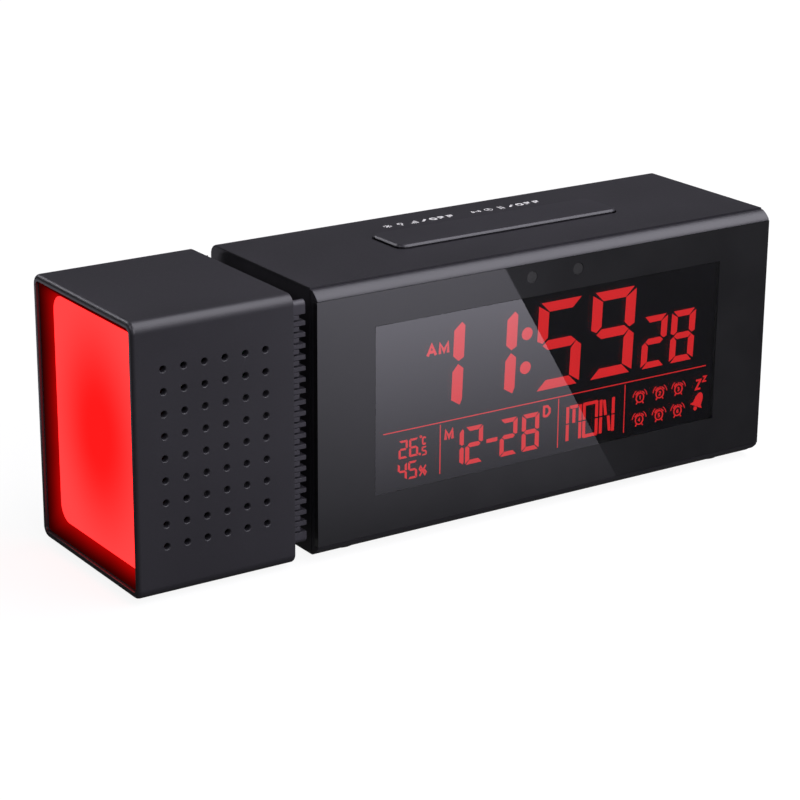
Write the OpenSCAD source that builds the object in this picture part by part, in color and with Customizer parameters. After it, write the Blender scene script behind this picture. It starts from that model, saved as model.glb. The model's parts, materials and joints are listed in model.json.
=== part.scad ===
// Projection alarm clock: a bar-shaped main body with a wide segment display,
// and a swivel head that carries a night light, a loudspeaker and a ceiling projector.
// X runs along the bar with the head at the low end, -Y is the front, Z is up.
// The origin is under the middle of the bar, on the table. Lengths are in millimetres.

/* [Overall] */
// Height of the case section, without the feet
case_h = 62.5; // [60:0.5:75]
// Depth of the case section, front to back
case_d = 46.6; // [45:0.2:58]
// Length of the main body
main_l = 129; // [127:0.5:170]
// Length of the swivel head
head_l = 39.5; // [39:0.5:50]
// Length of the neck between the head and the main body
neck_l = 5.8; // [5.4:0.1:9]
// Radius of the long edges
edge_r = 2.6; // [2.2:0.1:4]

/* [Case] */
// Wall of the case
case_wall = 2; // [1.6:0.1:2.6]
// Wall at the swivel end of the case
end_wall = 2.4; // [2:0.1:3]
// Depth of the front frame, from the front face to the seam
frame_t = 2.8; // [2.5:0.1:4]
// Width of the seam behind the front frame
seam_w = 0.25; // [0.1:0.05:0.4]
// How far the seam's land lies inside the outer face
seam_in = 0.6; // [0.3:0.1:0.9]
// Height of the rounded strips above and below the front panel
strip_h = 2.6; // [2.2:0.1:5]
// Clearance between parts that are fitted together
fit = 0.15; // [0.1:0.05:0.3]
// Length of the lip that the front frame pushes into the case
lip_l = 2.2; // [1.5:0.1:3]
// Thickness of that lip
lip_t = 1.2; // [0.8:0.1:1.6]
// Depth of the rear rim behind the rear cover
rear_rim = 1.2; // [1.1:0.1:2]
// Thickness of the rear cover
cover_t = 2; // [1.8:0.1:2.6]
// Width and thickness of the ledge that the rear cover seats on
ledge = 1.5; // [1:0.1:2]
// Radius of the long screw posts
post_r = 2.6; // [2.3:0.1:3]
// Distance of the post axes from the case's inner side walls
post_in = 4.3; // [4.2:0.1:6]
// Distance of the post axes from the case's inner top and bottom
post_drop = 4.3; // [4.2:0.1:6]
// Height of the feet under the case
foot_h = 1; // [0.8:0.1:2]
// Radius of a foot
foot_r = 4; // [3:0.1:5]
// Distance of the foot centres from the case ends
foot_end = 10.5; // [9:0.5:14]
// Distance of the foot centres from the case's front and back
foot_side = 8.5; // [7:0.5:11]
// Depth of the recess that a foot is glued into
foot_seat = 0.6; // [0.4:0.1:1]

/* [Front panel and display] */
// Thickness of the front panel and of the display lens
panel_t = 1.5; // [1.2:0.1:1.8]
// Width of the display window
window_w = 98.8; // [98:0.2:104]
// Height of the panel above the display window, from the top of the case
border_top = 10.6; // [10.4:0.1:14]
// Height of the panel below the display window, from the bottom of the case
border_bottom = 12; // [9:0.1:14]
// Gap around the panel and the lens
panel_gap = 0.1; // [0.05:0.05:0.2]
// Width of the border of the display glass outside the window
glass_rim = 1.1; // [0.8:0.1:1.6]
// Thickness of the display glass
glass_t = 2; // [1.6:0.1:2.6]
// Thickness of the printed display segments
ink_t = 0.15; // [0.1:0.05:0.2]
// Thickness of the backlight plate
light_t = 3; // [2:0.1:4]
// Height of the contact strip zone under the backlight plate
strip_zone = 3.6; // [3.2:0.1:4.5]
// Wall of the display holder
holder_wall = 1.1; // [0.8:0.1:1.2]
// Thickness of the holder's floor
holder_floor = 1.4; // [1:0.1:2]
// Radius of a sensor window in the panel
sensor_r = 1.4; // [1:0.1:1.5]
// Distance between the two sensor windows
sensor_pitch = 13.2; // [10:0.2:20]
// Offset of the middle of the two sensor windows from the middle of the main body
sensor_shift = -0.1; // [-10:0.1:10]
// Distance of the sensor windows below the top of the case
sensor_drop = 5.9; // [5.5:0.1:6.2]

/* [Circuit boards] */
// Thickness of the main board
board_t = 1.6; // [1.2:0.1:2]
// Thickness of the small boards
small_board_t = 1.2; // [1:0.1:1.6]
// Width of the main board
board_w = 114; // [112:0.5:114]
// Height of the main board
board_h = 48; // [46.5:0.5:50]
// Size of a push switch body
switch_a = 6; // [5.5:0.1:6.5]
// Height of a push switch body
switch_h = 3.5; // [3:0.1:4]
// Height of a push switch's actuator above its body
actuator_h = 1.05; // [0.8:0.05:1.5]
// Radius of a push switch's actuator
actuator_r = 1.7; // [1.2:0.1:1.9]

/* [Top bar] */
// Length of the rocking top bar
bar_l = 63.2; // [60:0.2:66]
// Depth of the top bar
bar_d = 12.9; // [12:0.1:14]
// Height of the bar above the case
bar_proud = 0.9; // [0.7:0.1:1.5]
// Corner radius of the bar
bar_r = 2.2; // [1.5:0.1:3]
// Gap around the bar
bar_gap = 0.35; // [0.3:0.05:0.5]
// Offset of the bar from the middle of the main body
bar_shift = 0.7; // [-3:0.1:3]
// Distance of the bar's middle behind the front face
bar_back = 24.4; // [23.5:0.1:25.5]
// Radius of the bar's pivot pins
pivot_r = 1; // [0.8:0.1:1.2]
// Depth of the pivot axis below the top of the case
pivot_drop = 3.9; // [3.8:0.1:4.5]
// Distance of the bar's plungers from its middle
plunger_x = 20; // [16:0.5:23]
// Gap that a plunger closes when the bar is pressed
plunger_gap = 0.4; // [0.4:0.05:0.6]

/* [Rear keys and sockets] */
// Width of a rear key
key_w = 10.6; // [9:0.1:11]
// Height of a rear key
key_h = 5; // [4:0.1:6]
// Distance between the keys
key_pitch = 16; // [15.5:0.1:17]
// Height of the keys above the rear cover
key_proud = 1; // [0.8:0.1:1.1]
// Distance of the key row below the top of the case
key_drop = 15.9; // [15.8:0.1:17.5]
// Travel of a rear key
key_travel = 0.6; // [0.4:0.05:0.7]
// Distance of the power socket from the middle of the main body
power_x = -44; // [-46:0.5:-42]
// Radius of the power socket's mouth
power_r = 3; // [2.75:0.05:3.2]
// Distance of the charging port from the middle of the main body
usb_x = -25; // [-26:0.5:-22]
// Width of the charging port's shell
usb_w = 13.2; // [13:0.1:14]
// Height of the charging port's shell
usb_h = 5.8; // [5.6:0.1:6.2]
// Side of the square battery door
door_a = 26; // [25.5:0.1:28]
// Thickness of the battery door
door_t = 1.2; // [1:0.1:1.4]
// Distance of the battery door from the middle of the main body
door_x = 12; // [8:0.5:16]
// Distance of the battery door's centre below the middle of the case
door_drop = 9.5; // [9:0.1:11]
// Radius of the coin cell
cell_r = 10; // [9.8:0.1:10]
// Thickness of the coin cell
cell_t = 3.2; // [2.5:0.1:3.2]
// Distance of the climate vents from the middle of the main body
vent_x = 43; // [40:0.5:45]
// Number of vent slots
vent_count = 5; // [3:1:6]
// Distance between vent slots
vent_pitch = 2.6; // [2.4:0.1:3]
// Width of a vent slot
vent_w = 1.2; // [1:0.1:1.4]
// Length of a vent slot
vent_l = 12; // [8:0.5:14]

/* [Swivel] */
// Radius of the hollow swivel hub
hub_r = 7; // [6:0.1:8]
// Radius of the cable passage through the hub
hub_bore = 2.8; // [2.5:0.1:3.2]
// Radial clearance of the hub in its bush
run_fit = 0.05; // [0.02:0.01:0.1]
// Wall of the swivel bush
bush_wall = 1.6; // [1.2:0.1:2]
// Thickness of the bush's flange in the neck
bush_flange_t = 1; // [0.8:0.1:1.2]
// Radius of the bush's flange
bush_flange_r = 12; // [11:0.5:14]
// How far the bush stands inside the end wall
bush_in = 1.2; // [0.8:0.1:2]
// Thickness of the friction washer
washer_t = 0.6; // [0.4:0.1:0.8]
// Thickness of the retaining ring
retainer_t = 2; // [1.6:0.1:2.4]
// Outer radius of the retaining ring and the washer
retainer_r = 10.5; // [10.2:0.1:11]
// Radial height of the stop lug on the retaining ring
lug_h = 2.2; // [1.5:0.1:2.5]
// Angle that the stop lug covers
lug_angle = 20; // [16:1:26]
// Turning range of the head
swivel_range = 180; // [120:5:180]
// Radius of the cable bundle
harness_r = 2.2; // [1.8:0.1:2.4]

/* [Head] */
// Wall of the head shell
head_wall = 1.6; // [1.4:0.1:2]
// Wall between the head and the neck
head_end = 2; // [1.6:0.1:2.4]
// Columns of the loudspeaker grille
grille_columns = 6; // [4:1:7]
// Rows of the loudspeaker grille
grille_rows = 9; // [6:1:10]
// Distance between grille holes
grille_pitch = 5; // [4:0.1:5.2]
// Radius of a grille hole
grille_r = 0.7; // [0.5:0.05:0.9]
// Distance of the first column of holes from the open end of the head
grille_x = 7.2; // [7:0.1:9]
// Distance of the grille's middle above the middle of the head
grille_lift = 0.2; // [-1:0.1:1]
// Depth of the light panel behind the rim
lamp_depth = 3.4; // [3:0.1:3.8]
// Depth of the lamp bezel's lip behind the rim
lamp_lip = 0.8; // [0.5:0.1:1.2]
// Margin of the bezel's lip inside the head's outline
lip_margin = 2.3; // [2.3:0.1:2.6]
// Side margin of the light panel inside the head's outline
lamp_side = 3.25; // [3.2:0.05:5]
// Top and bottom margin of the light panel inside the head's outline
lamp_end = 4.45; // [4.2:0.05:6]
// Corner radius of the light panel
lamp_r = 4; // [2:0.1:6]
// Thickness of the lamp diffuser
diffuser_t = 1.5; // [1:0.1:2]
// Thickness of the lamp's light guide
guide_t = 3; // [2.5:0.1:3]
// Thickness of the reflector sheet
reflector_t = 0.5; // [0.3:0.1:0.6]
// Skirt of the lamp bezel around the light guide
skirt_t = 0.7; // [0.6:0.1:0.8]
// Radius of the loudspeaker's flange
speaker_r = 13; // [12:0.1:13]
// Distance of the loudspeaker's axis from the inner face of the neck wall
speaker_in = 14.3; // [14.3:0.1:14.6]
// Depth of the loudspeaker
speaker_t = 9; // [8:0.1:9.5]

/* [Neck collar] */
// Length of the collar's long ribs
rib_l = 3.7; // [3.2:0.1:3.8]
// Length of the collar's short ribs
short_rib_l = 2.1; // [1.6:0.1:2.6]
// Height of a rib
rib_w = 1; // [0.8:0.05:1.1]
// Distance between long ribs
rib_pitch = 2.58; // [2.5:0.02:2.8]
// Number of long ribs
rib_count = 19; // [15:1:19]
// Depth of the grooves between the ribs
rib_depth = 4; // [2:0.5:5]
// Thickness of the collar's end plates
end_plate_t = 1.2; // [0.8:0.1:1.6]
// Corner radius of the collar
collar_r = 1.2; // [0.6:0.1:1.6]
// How far the collar lies inside the head's front and back
collar_in = 1.5; // [1:0.1:2]
// Height of the collar
collar_h = 56.4; // [55:0.1:57]
// How far the collar's middle lies above the swivel axis
collar_lift = 1; // [0:0.1:1]

/* [Projector] */
// Distance of the projector's axis from the open end of the head
lens_x = 21; // [20.5:0.1:21.4]
// Radius of the finger recess around the focus ring
dish_r = 10.8; // [10.6:0.1:11]
// Depth of the finger recess
dish_t = 3; // [2.5:0.1:3.4]
// Radius of the focus ring's knurled rim
ring_r = 8.8; // [8.6:0.1:9]
// Number of knurls on the focus ring
knurls = 28; // [20:1:36]
// Radius of the knurl grooves
knurl_r = 0.45; // [0.3:0.05:0.5]
// Radius of the focus ring's neck
ring_neck_r = 7.2; // [7.1:0.1:7.4]
// Radius of the lens barrel
barrel_r = 6; // [5.8:0.1:6.2]
// Wall of the lens barrel
barrel_wall = 1; // [0.8:0.1:1.2]
// Length of the lens barrel
barrel_l = 9; // [8:0.1:10]
// Focusing travel of the lens barrel
focus_travel = 1.5; // [1:0.1:2]
// Outer radius of the projector tube
tube_r = 9.2; // [9:0.1:9.6]
// Wall of the projector tube
tube_wall = 1.2; // [1:0.1:1.4]
// Length of the projector tube
tube_l = 22; // [21:0.1:23]

/* [Hidden] */
$fn = 48;
eps = 0.01;

// Main planes of the object
total_l = head_l + neck_l + main_l;
front_y = -case_d / 2;
rear_y = case_d / 2;
base_z = foot_h;
roof_z = foot_h + case_h;
axis_z = foot_h + case_h / 2;
head_x = -total_l / 2;
neck_x = head_x + head_l;
main_x = neck_x + neck_l;
tail_x = total_l / 2;
main_mid = (main_x + tail_x) / 2;

// Inside of the case
hollow_x0 = main_x + end_wall;
hollow_x1 = tail_x - case_wall;
hollow_z0 = base_z + case_wall;
hollow_z1 = roof_z - case_wall;
post_xs = [hollow_x0 + post_in, hollow_x1 - post_in];
post_zs = [hollow_z0 + post_drop, hollow_z1 - post_drop];

// Display stack, from the front face towards the back
seam_y = front_y + frame_t;
case_y = seam_y + seam_w;
ink_y = front_y + panel_t + panel_gap;
glass_y = ink_y + ink_t;
light_y = glass_y + glass_t;
floor_y = light_y + light_t + panel_gap;
board_y = floor_y + holder_floor;
board_back = board_y + board_t;
window_h = case_h - border_top - border_bottom;
window_z = base_z + border_bottom + window_h / 2;
glass_w = window_w + 2 * glass_rim;
glass_h = window_h + 2 * glass_rim + 1;
pocket_w = glass_w + 2 * fit;
pocket_h = glass_h + 2 * fit;
sensor_z = roof_z - sensor_drop;
sensor_mid = main_mid + sensor_shift;
sensor_xs = [sensor_mid - sensor_pitch / 2, sensor_mid + sensor_pitch / 2];
capsule_r = sensor_r + 0.2;
capsule_l = 4;
led_bar_w = 2;
strip_end = 4;
strip_w = 2;
strip_lift = 0.3;

// Board screws beside the display holder
boss_r = 2;
boss_x = pocket_w / 2 + holder_wall + boss_r + fit;
boss_z = 15;
pilot_r = 0.95;
screw_r = 0.9;
screw_head_r = 1.8;
screw_head_h = 1.3;
board_screw_l = 5.5;
power_screw_l = board_t + 1.2;
collar_screw_l = head_end + 2.6;
head_board_gap = 1.7;
head_board_screw_l = board_t + head_board_gap + head_end - 0.7;
head_screw_h = 1;

// Parts on the main board, from its middle: left, bottom, width, height and thickness of the flat ones
chips = [[-14, -8, 14, 14, 1.5], [18, -2, 6, 6, 1.2], [32, -12, 8, 5, 1.6], [-34, 4, 7, 5, 1.6],
    [6, 10, 2.4, 7, 2.4], [10, 10, 2.4, 7, 2.4]];
can_xs = [38, 46];
can_z = 8;
can_r = 3;
can_l = 8;
header_w = 8;
header_h = 6.4;

// Rear cover and what it carries
cover_back = rear_y - rear_rim;
cover_y = cover_back - cover_t;
ledge_y = cover_y - ledge;
post_split = 0;
long_screw_r = 1.2;
long_screw_l = 36;
long_head_r = 2.3;
long_head_h = 1.4;
long_head_y = cover_back - long_head_h - 0.1;
long_tip_y = long_head_y - long_screw_l;
key_z = roof_z - key_drop;
key_count = 6;
key_xs = [for (i = [0 : key_count - 1]) main_mid + (i - (key_count - 1) / 2) * key_pitch];
flange_t = 1.2;
flange_rim = 0.6;
key_back = cover_y - 0.1 - flange_t;
key_gap = key_travel + 0.05;
stem_l = 1.2;
stem_r = 1.5;
actuator_y = key_back - stem_l - key_gap;
key_board_y1 = actuator_y - actuator_h - switch_h;
key_board_y0 = key_board_y1 - board_t;
key_board_side = 14;
key_board_w = (key_count - 1) * key_pitch + 2 * key_board_side;
key_board_up = switch_a / 2 + 0.6;
key_board_down = 7;
key_post_in = 3.5;
key_post_xs = [main_mid - key_board_w / 2 + key_post_in, main_mid, main_mid + key_board_w / 2 - key_post_in];
small_post_r = 1.8;
power_board_z = hollow_z0 + 2;
power_top = power_board_z + board_t;
power_side = 9.5;
usb_side = 10.5;
power_board_x0 = main_mid + power_x - power_side;
power_board_x1 = main_mid + usb_x + usb_side;
power_board_l = 20;
power_body = [9, 13, 10.4];
power_post_in = 2.6;
power_axis_z = power_top + power_body[2] / 2;
usb_l = 14;
usb_axis_z = power_top + usb_h / 2;
sheet_t = 0.4;
tongue_l = 10.5;
tongue_t = 1.8;
port_floor_y = cover_y - fit - usb_l + 2;
inlet_depth = 9;
inlet_pin_r = 0.8;
inlet_pin_l = 8;
power_boss_xs = [power_board_x0 + power_post_in, (power_board_x0 + power_board_x1) / 2 - 1,
    power_board_x1 - power_post_in];
power_boss_y = cover_y - fit - power_board_l + power_post_in;
door_mid = [main_mid + door_x, axis_z - door_drop];
door_ledge = 1.3;
holder_a = door_a - 1;
door_rib_d = cover_t - door_t - 0.1;
cell_y = cover_y - 0.2 - cell_t;
cell_floor = 1.6;
vent_mid = [main_mid + vent_x, axis_z - door_drop];
climate_w = (vent_count - 1) * vent_pitch + 7.6;
climate_h = 15;
climate_gap = 2.2;
sensor_a = 4.4;
sensor_t = 1.4;

// Rocking top bar
bar_x = main_mid + bar_shift;
bar_y = front_y + bar_back;
bar_under = 2.8;
bar_wall = 1.3;
bar_top_t = 1.3;
pivot_z = roof_z - pivot_drop;
ear_t = 1.6;
ear_w = 5.2;
pivot_web = 3.4;
ear_in = bar_d / 2 + 0.3;
pivot_half = ear_in + ear_t - 0.2;
plunger_r = 1.6;
plunger_z = roof_z - 4.3;
rocker_board_z = plunger_z - plunger_gap - actuator_h - switch_h;
tray_t = 1.2;
tray_z = rocker_board_z - small_board_t - tray_t;
tray_over = 6;
tray_l = bar_l + 2 * tray_over;
tray_d = 2 * (ear_in + ear_t);
tray_screw_x = bar_l / 2 + 3.2;
tray_screw_y = 4.5;
rocker_board_over = 6;
rocker_board_in = 1.3;

// Swivel
bush_r = hub_r + run_fit + bush_wall;
bush_x = main_x - bush_flange_t;
washer_x = hollow_x0 + bush_in;
retainer_x = washer_x + washer_t + run_fit;
hub_end = retainer_x + retainer_t + 0.8;
lug_r = retainer_r + lug_h;
stop_gap = 0.4;
harness_out = 1.7;
harness_in = 12.5;
harness_x0 = neck_x - harness_out;
harness_x1 = main_x + harness_in;
plug_l = 5;

// Head
head_back = neck_x - head_end;
collar_screw_in = 8;
collar_screw_up = 23;
collar_pilot_l = 3;
mouth_d = case_d - 2 * head_wall;
mouth_h = case_h - 2 * head_wall;
mouth_r = edge_r - head_wall;
bezel_d = mouth_d - 2 * fit;
bezel_h = mouth_h - 2 * fit;
bezel_pocket_d = bezel_d - 2 * skirt_t;
bezel_pocket_h = bezel_h - 2 * skirt_t;
diffuser_x = head_x + lamp_depth;
guide_x = diffuser_x + diffuser_t;
reflector_x = guide_x + guide_t;
lamp_back = reflector_x + reflector_t;
led_t = 1.2;
strip_t = 1;
guide_h = bezel_pocket_h - 2 * fit - 2 * (led_t + strip_t);
lamp_led_count = 6;
grille_z = axis_z + grille_lift;
speaker_x = head_back - speaker_in;
mesh_t = 0.4;
mesh_y = front_y + head_wall;
speaker_y = mesh_y + mesh_t;
speaker_flange_t = 1.2;
magnet_t = 3.2;
magnet_r = 7.5;
speaker_wall_t = 1;

// Projector
projector_x = head_x + lens_x;
inner_back = rear_y - head_wall;
dish_y = rear_y - dish_t;
dish_wall = 1.4;
ring_top = rear_y - 0.2;
ring_rim_y = dish_y + 0.2;
ring_flange_t = 1.1;
ring_end = dish_y - dish_wall - 0.2 - ring_flange_t;
tube_end = ring_end - 0.3;
tube_start = tube_end - tube_l;
slide_seat_y = tube_start + 8.5;
slide_seat_t = 1;
barrel_end = ring_top - 0.4;
barrel_start = barrel_end - barrel_l;
barrel_flange_t = 1.5;
tube_bore = tube_r - tube_wall;
shoulder_y = barrel_start - focus_travel - 0.1;
shoulder_in = 0.6;
lens_seat = 4.4;
lens_lip = 0.8;
lens_bulge = 9;
slide_w = 11;
slide_h = 8.6;
slide_t = 1.2;
slide_gate_w = 9;
slide_gate_h = 7;
condenser_t = 3.6;
condenser_bulge = 12;
condenser_y = tube_start + 3;
light_a = 3.6;
light_h = 1.6;
lens_r = barrel_r - barrel_wall - 0.1;
lens_t = 3.4;
head_board_x = head_back - head_board_gap - board_t;
head_board_y0 = speaker_y + speaker_t + 2.6;
head_board_y1 = inner_back - 3;
head_board_h = 44;
head_board_mid = (head_board_y0 + head_board_y1) / 2 + 6;

// Display figures, measured from the window's lower left corner
figures_x = main_mid - window_w / 2;
figures_z = window_z - window_h / 2;
time_top = 2.7;
time_w = 12.6;
time_stroke = 2.6;
time_z = 16.4;
time_h = window_h - time_z - time_top;
time_xs = [12, 26.8, 45.4, 61.1];
seconds_h = 12.7;
seconds_w = 7.5;
seconds_stroke = 1.6;
seconds_xs = [76.4, 85.1];
date_h = 9.1;
date_w = 4.9;
date_stroke = 1;
date_z = 2;
date_xs = [19.9, 25.4, 35.2, 41.5];
dash_x = 32.9;
small_h = 4.7;
small_w = 2.4;
small_stroke = 0.55;
small_xs = [6.9, 9.8];
warmth_z = 6.15;
damp_z = 1.3;
dash_l = 3;
rule_x = 2.8;
rule_right = 0.4;
rule_z = 13.5;
rule_t = 0.35;
divider_z = 1;
divider_xs = [18.2, 51.8, 71.7];
colon_x = 42.2;
colon_r = 1.5;
icon_r = 1.7;
icon_stroke = 0.5;
icon_xs = [76.6, 82.6, 88.4];
icon_zs = [9, 3.4];
day_xs = [54.4, 59.3, 64.3];
day_w = 4.4;
day_h = 8.9;

// ---- Shared shapes ----

// A flat outline in Y and Z, carried along X from x over l
module along_x(x, l) {
    translate([x, 0, 0]) rotate([90, 0, 90]) linear_extrude(l) children();
}

// A flat outline in X and Z, carried along Y from y over l
module along_y(y, l) {
    translate([0, y + l, 0]) rotate([90, 0, 0]) linear_extrude(l) children();
}

// A flat outline in X and Y, carried up from z over l
module along_z(z, l) {
    translate([0, 0, z]) linear_extrude(l) children();
}

// A rectangle with round corners, centred
module rounded(w, h, r) {
    square([w - 2 * r, h], center = true);
    square([w, h - 2 * r], center = true);
    for (sx = [-1, 1], sy = [-1, 1])
        translate([sx * (w / 2 - r), sy * (h / 2 - r)]) circle(r);
}

// The case section in Y and Z, drawn in by a margin
module section(margin) {
    translate([0, axis_z]) rounded(case_d - 2 * margin, case_h - 2 * margin, edge_r - margin);
}

// A solid box between two corners
module block(low, high) {
    translate(low) cube(high - low);
}

// A cylinder along X, Y or Z from its start point
module rod_x(x, y, z, r, l) {
    translate([x, y, z]) rotate([0, 90, 0]) cylinder(r = r, h = l);
}

module rod_y(x, y, z, r, l) {
    translate([x, y, z]) rotate([-90, 0, 0]) cylinder(r = r, h = l);
}

module rod_z(x, y, z, r, l) {
    translate([x, y, z]) cylinder(r = r, h = l);
}

// A pan-head screw with its shank down from the origin and a cross slot
module screw(r, l, head_r, head_h) {
    difference() {
        union() {
            translate([0, 0, -l]) cylinder(r = r, h = l + eps);
            cylinder(r = head_r, h = head_h);
        }
        for (a = [0, 90])
            rotate(a) translate([-head_r * 0.6, -0.2, head_h * 0.5]) cube([head_r * 1.2, 0.4, head_h]);
    }
}

// A push switch standing on the origin, with its actuator up
module tact_switch() {
    translate([-switch_a / 2, -switch_a / 2, 0]) cube([switch_a, switch_a, switch_h]);
    cylinder(r = actuator_r, h = switch_h + actuator_h);
}

// ---- Display figures ----

// Segments that each numeral lights: top, upper right, lower right, bottom, lower left, upper left, middle
numeral_segments = [
    [1, 1, 1, 1, 1, 1, 0], [0, 1, 1, 0, 0, 0, 0], [1, 1, 0, 1, 1, 0, 1], [1, 1, 1, 1, 0, 0, 1],
    [0, 1, 1, 0, 0, 1, 1], [1, 0, 1, 1, 0, 1, 1], [1, 0, 1, 1, 1, 1, 1], [1, 1, 1, 0, 0, 0, 0],
    [1, 1, 1, 1, 1, 1, 1], [1, 1, 1, 1, 0, 1, 1]];

// A level bar with mitred ends, centred
module bar_segment(l, t) {
    polygon([[-l / 2, 0], [t / 2 - l / 2, t / 2], [l / 2 - t / 2, t / 2],
        [l / 2, 0], [l / 2 - t / 2, -t / 2], [t / 2 - l / 2, -t / 2]]);
}

// One seven-segment numeral with its lower left corner at the origin
module numeral(value, w, h, t) {
    lit = numeral_segments[value];
    half = (h - t) / 2;
    reach = w - t;
    slit = t * 0.16;
    if (lit[0]) translate([w / 2, h - t / 2]) bar_segment(reach - slit, t);
    if (lit[3]) translate([w / 2, t / 2]) bar_segment(reach - slit, t);
    if (lit[6]) translate([w / 2, h / 2]) bar_segment(reach - slit, t);
    if (lit[1]) translate([w - t / 2, h / 2 + half / 2]) rotate(90) bar_segment(half - slit, t);
    if (lit[2]) translate([w - t / 2, h / 2 - half / 2]) rotate(90) bar_segment(half - slit, t);
    if (lit[5]) translate([t / 2, h / 2 + half / 2]) rotate(90) bar_segment(half - slit, t);
    if (lit[4]) translate([t / 2, h / 2 - half / 2]) rotate(90) bar_segment(half - slit, t);
}

// A row of numerals at the given places
module numerals(values, xs, z, w, h, t) {
    for (i = [0 : len(values) - 1])
        translate([xs[i], z]) numeral(values[i], w, h, t);
}

// Everything that the display shows, in window coordinates
module figures() {
    numerals([1, 1, 5, 9], time_xs, time_z, time_w, time_h, time_stroke);
    numerals([2, 8], seconds_xs, time_z, seconds_w, seconds_h, seconds_stroke);
    numerals([1, 2, 2, 8], date_xs, date_z, date_w, date_h, date_stroke);
    numerals([2, 6], small_xs, warmth_z, small_w, small_h, small_stroke);
    numerals([4, 5], small_xs, damp_z, small_w, small_h, small_stroke);
    translate([dash_x, date_z + date_h / 2]) bar_segment(dash_l, date_stroke);
    for (dz = [-0.2, 0.2])
        translate([colon_x, time_z + time_h * (0.5 + dz)]) circle(colon_r);
    translate([rule_x, rule_z]) square([window_w - rule_x - rule_right, rule_t]);
    for (x = divider_xs)
        translate([x, divider_z]) square([rule_t, rule_z - rule_t - divider_z]);
    for (x = icon_xs, z = icon_zs)
        translate([x, z]) difference() {
            circle(icon_r);
            circle(icon_r - icon_stroke);
        }
    day_letters();
}

// The three letters of the day, in straight strokes
module day_letters() {
    top_z = date_z + day_h - date_stroke;
    for (x = day_xs, side = [0, 1])
        translate([x + side * (day_w - date_stroke), date_z]) square([date_stroke, day_h]);
    for (place = [[day_xs[0], top_z], [day_xs[1], top_z], [day_xs[1], date_z]])
        translate(place) square([day_w, date_stroke]);
    translate([day_xs[0] + (day_w - date_stroke) / 2, date_z + day_h / 2]) square([date_stroke, day_h / 2]);
    translate([day_xs[2] + day_w / 2, date_z + day_h / 2]) rotate(-62) bar_segment(day_h * 0.55, date_stroke);
}

// ---- Main body ----

// The case: a sleeve with two end walls, open at the front and at the back
module case_body() {
    color("#2c2c30") difference() {
        union() {
            difference() {
                along_x(main_x, main_l) section(0);
                block([main_x - 1, front_y - 1, base_z - 1], [tail_x + 1, case_y, roof_z + 1]);
                block([hollow_x0, front_y, hollow_z0], [hollow_x1, rear_y + 1, hollow_z1]);
            }
            rear_ledge();
            roof_bosses();
            power_bosses();
            swivel_stop();
        }
        rod_x(main_x - 1, 0, axis_z, bush_r + run_fit, end_wall + 2);
        along_z(roof_z - case_wall - 1, case_wall + 2)
            translate([bar_x, bar_y]) rounded(bar_l + 2 * bar_gap, bar_d + 2 * bar_gap, bar_r + bar_gap);
        foot_places() translate([0, 0, base_z - 1]) cylinder(r = foot_r + fit, h = foot_seat + 1);
        roof_screw_places() translate([0, 0, -1]) cylinder(r = pilot_r, h = 7);
        power_screw_places() translate([0, 0, -1.5]) cylinder(r = pilot_r, h = 3);
    }
}

// The ledge inside the case that the rear cover seats on
module rear_ledge() {
    difference() {
        block([hollow_x0 - eps, ledge_y, hollow_z0 - eps], [hollow_x1 + eps, cover_y, hollow_z1 + eps]);
        block([hollow_x0 + ledge, ledge_y - 1, hollow_z0 + ledge],
            [hollow_x1 - ledge, cover_y + 1, hollow_z1 - ledge]);
        for (x = post_xs, z = post_zs)
            rod_y(x, ledge_y - 1, z, post_r + fit, ledge + 2);
    }
}

// Where the rocker tray's screws go, at the level of the tray's upper face
module roof_screw_places() {
    for (sx = [-1, 1], sy = [-1, 1])
        translate([bar_x + sx * tray_screw_x, bar_y + sy * tray_screw_y, tray_z + tray_t]) children();
}

// The bosses under the roof that carry the rocker tray
module roof_bosses() {
    roof_screw_places() cylinder(r = small_post_r, h = hollow_z1 - tray_z - tray_t + eps);
}

// Where the power board's screws go, at the level of its underside
module power_screw_places() {
    for (x = power_boss_xs)
        translate([x, power_boss_y, power_board_z]) children();
}

// The bosses on the floor that carry the power board
module power_bosses() {
    power_screw_places() translate([0, 0, hollow_z0 - eps - power_board_z])
        cylinder(r = small_post_r, h = power_board_z - hollow_z0 + eps);
}

// The arc inside the end wall that the retaining ring's lug runs against
module swivel_stop() {
    arc_start = swivel_range - 90 + lug_angle / 2 + 1;
    arc_end = 270 - lug_angle / 2 - 1;
    steps = 4;
    along_x(hollow_x0 - eps, retainer_x + retainer_t - hollow_x0)
        translate([0, axis_z]) intersection() {
            difference() {
                circle(lug_r);
                circle(retainer_r + stop_gap);
            }
            polygon([[0, 0], for (i = [0 : steps]) let (a = arc_start + (arc_end - arc_start) * i / steps)
                2 * lug_r * [cos(a), sin(a)]]);
        }
}

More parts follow.
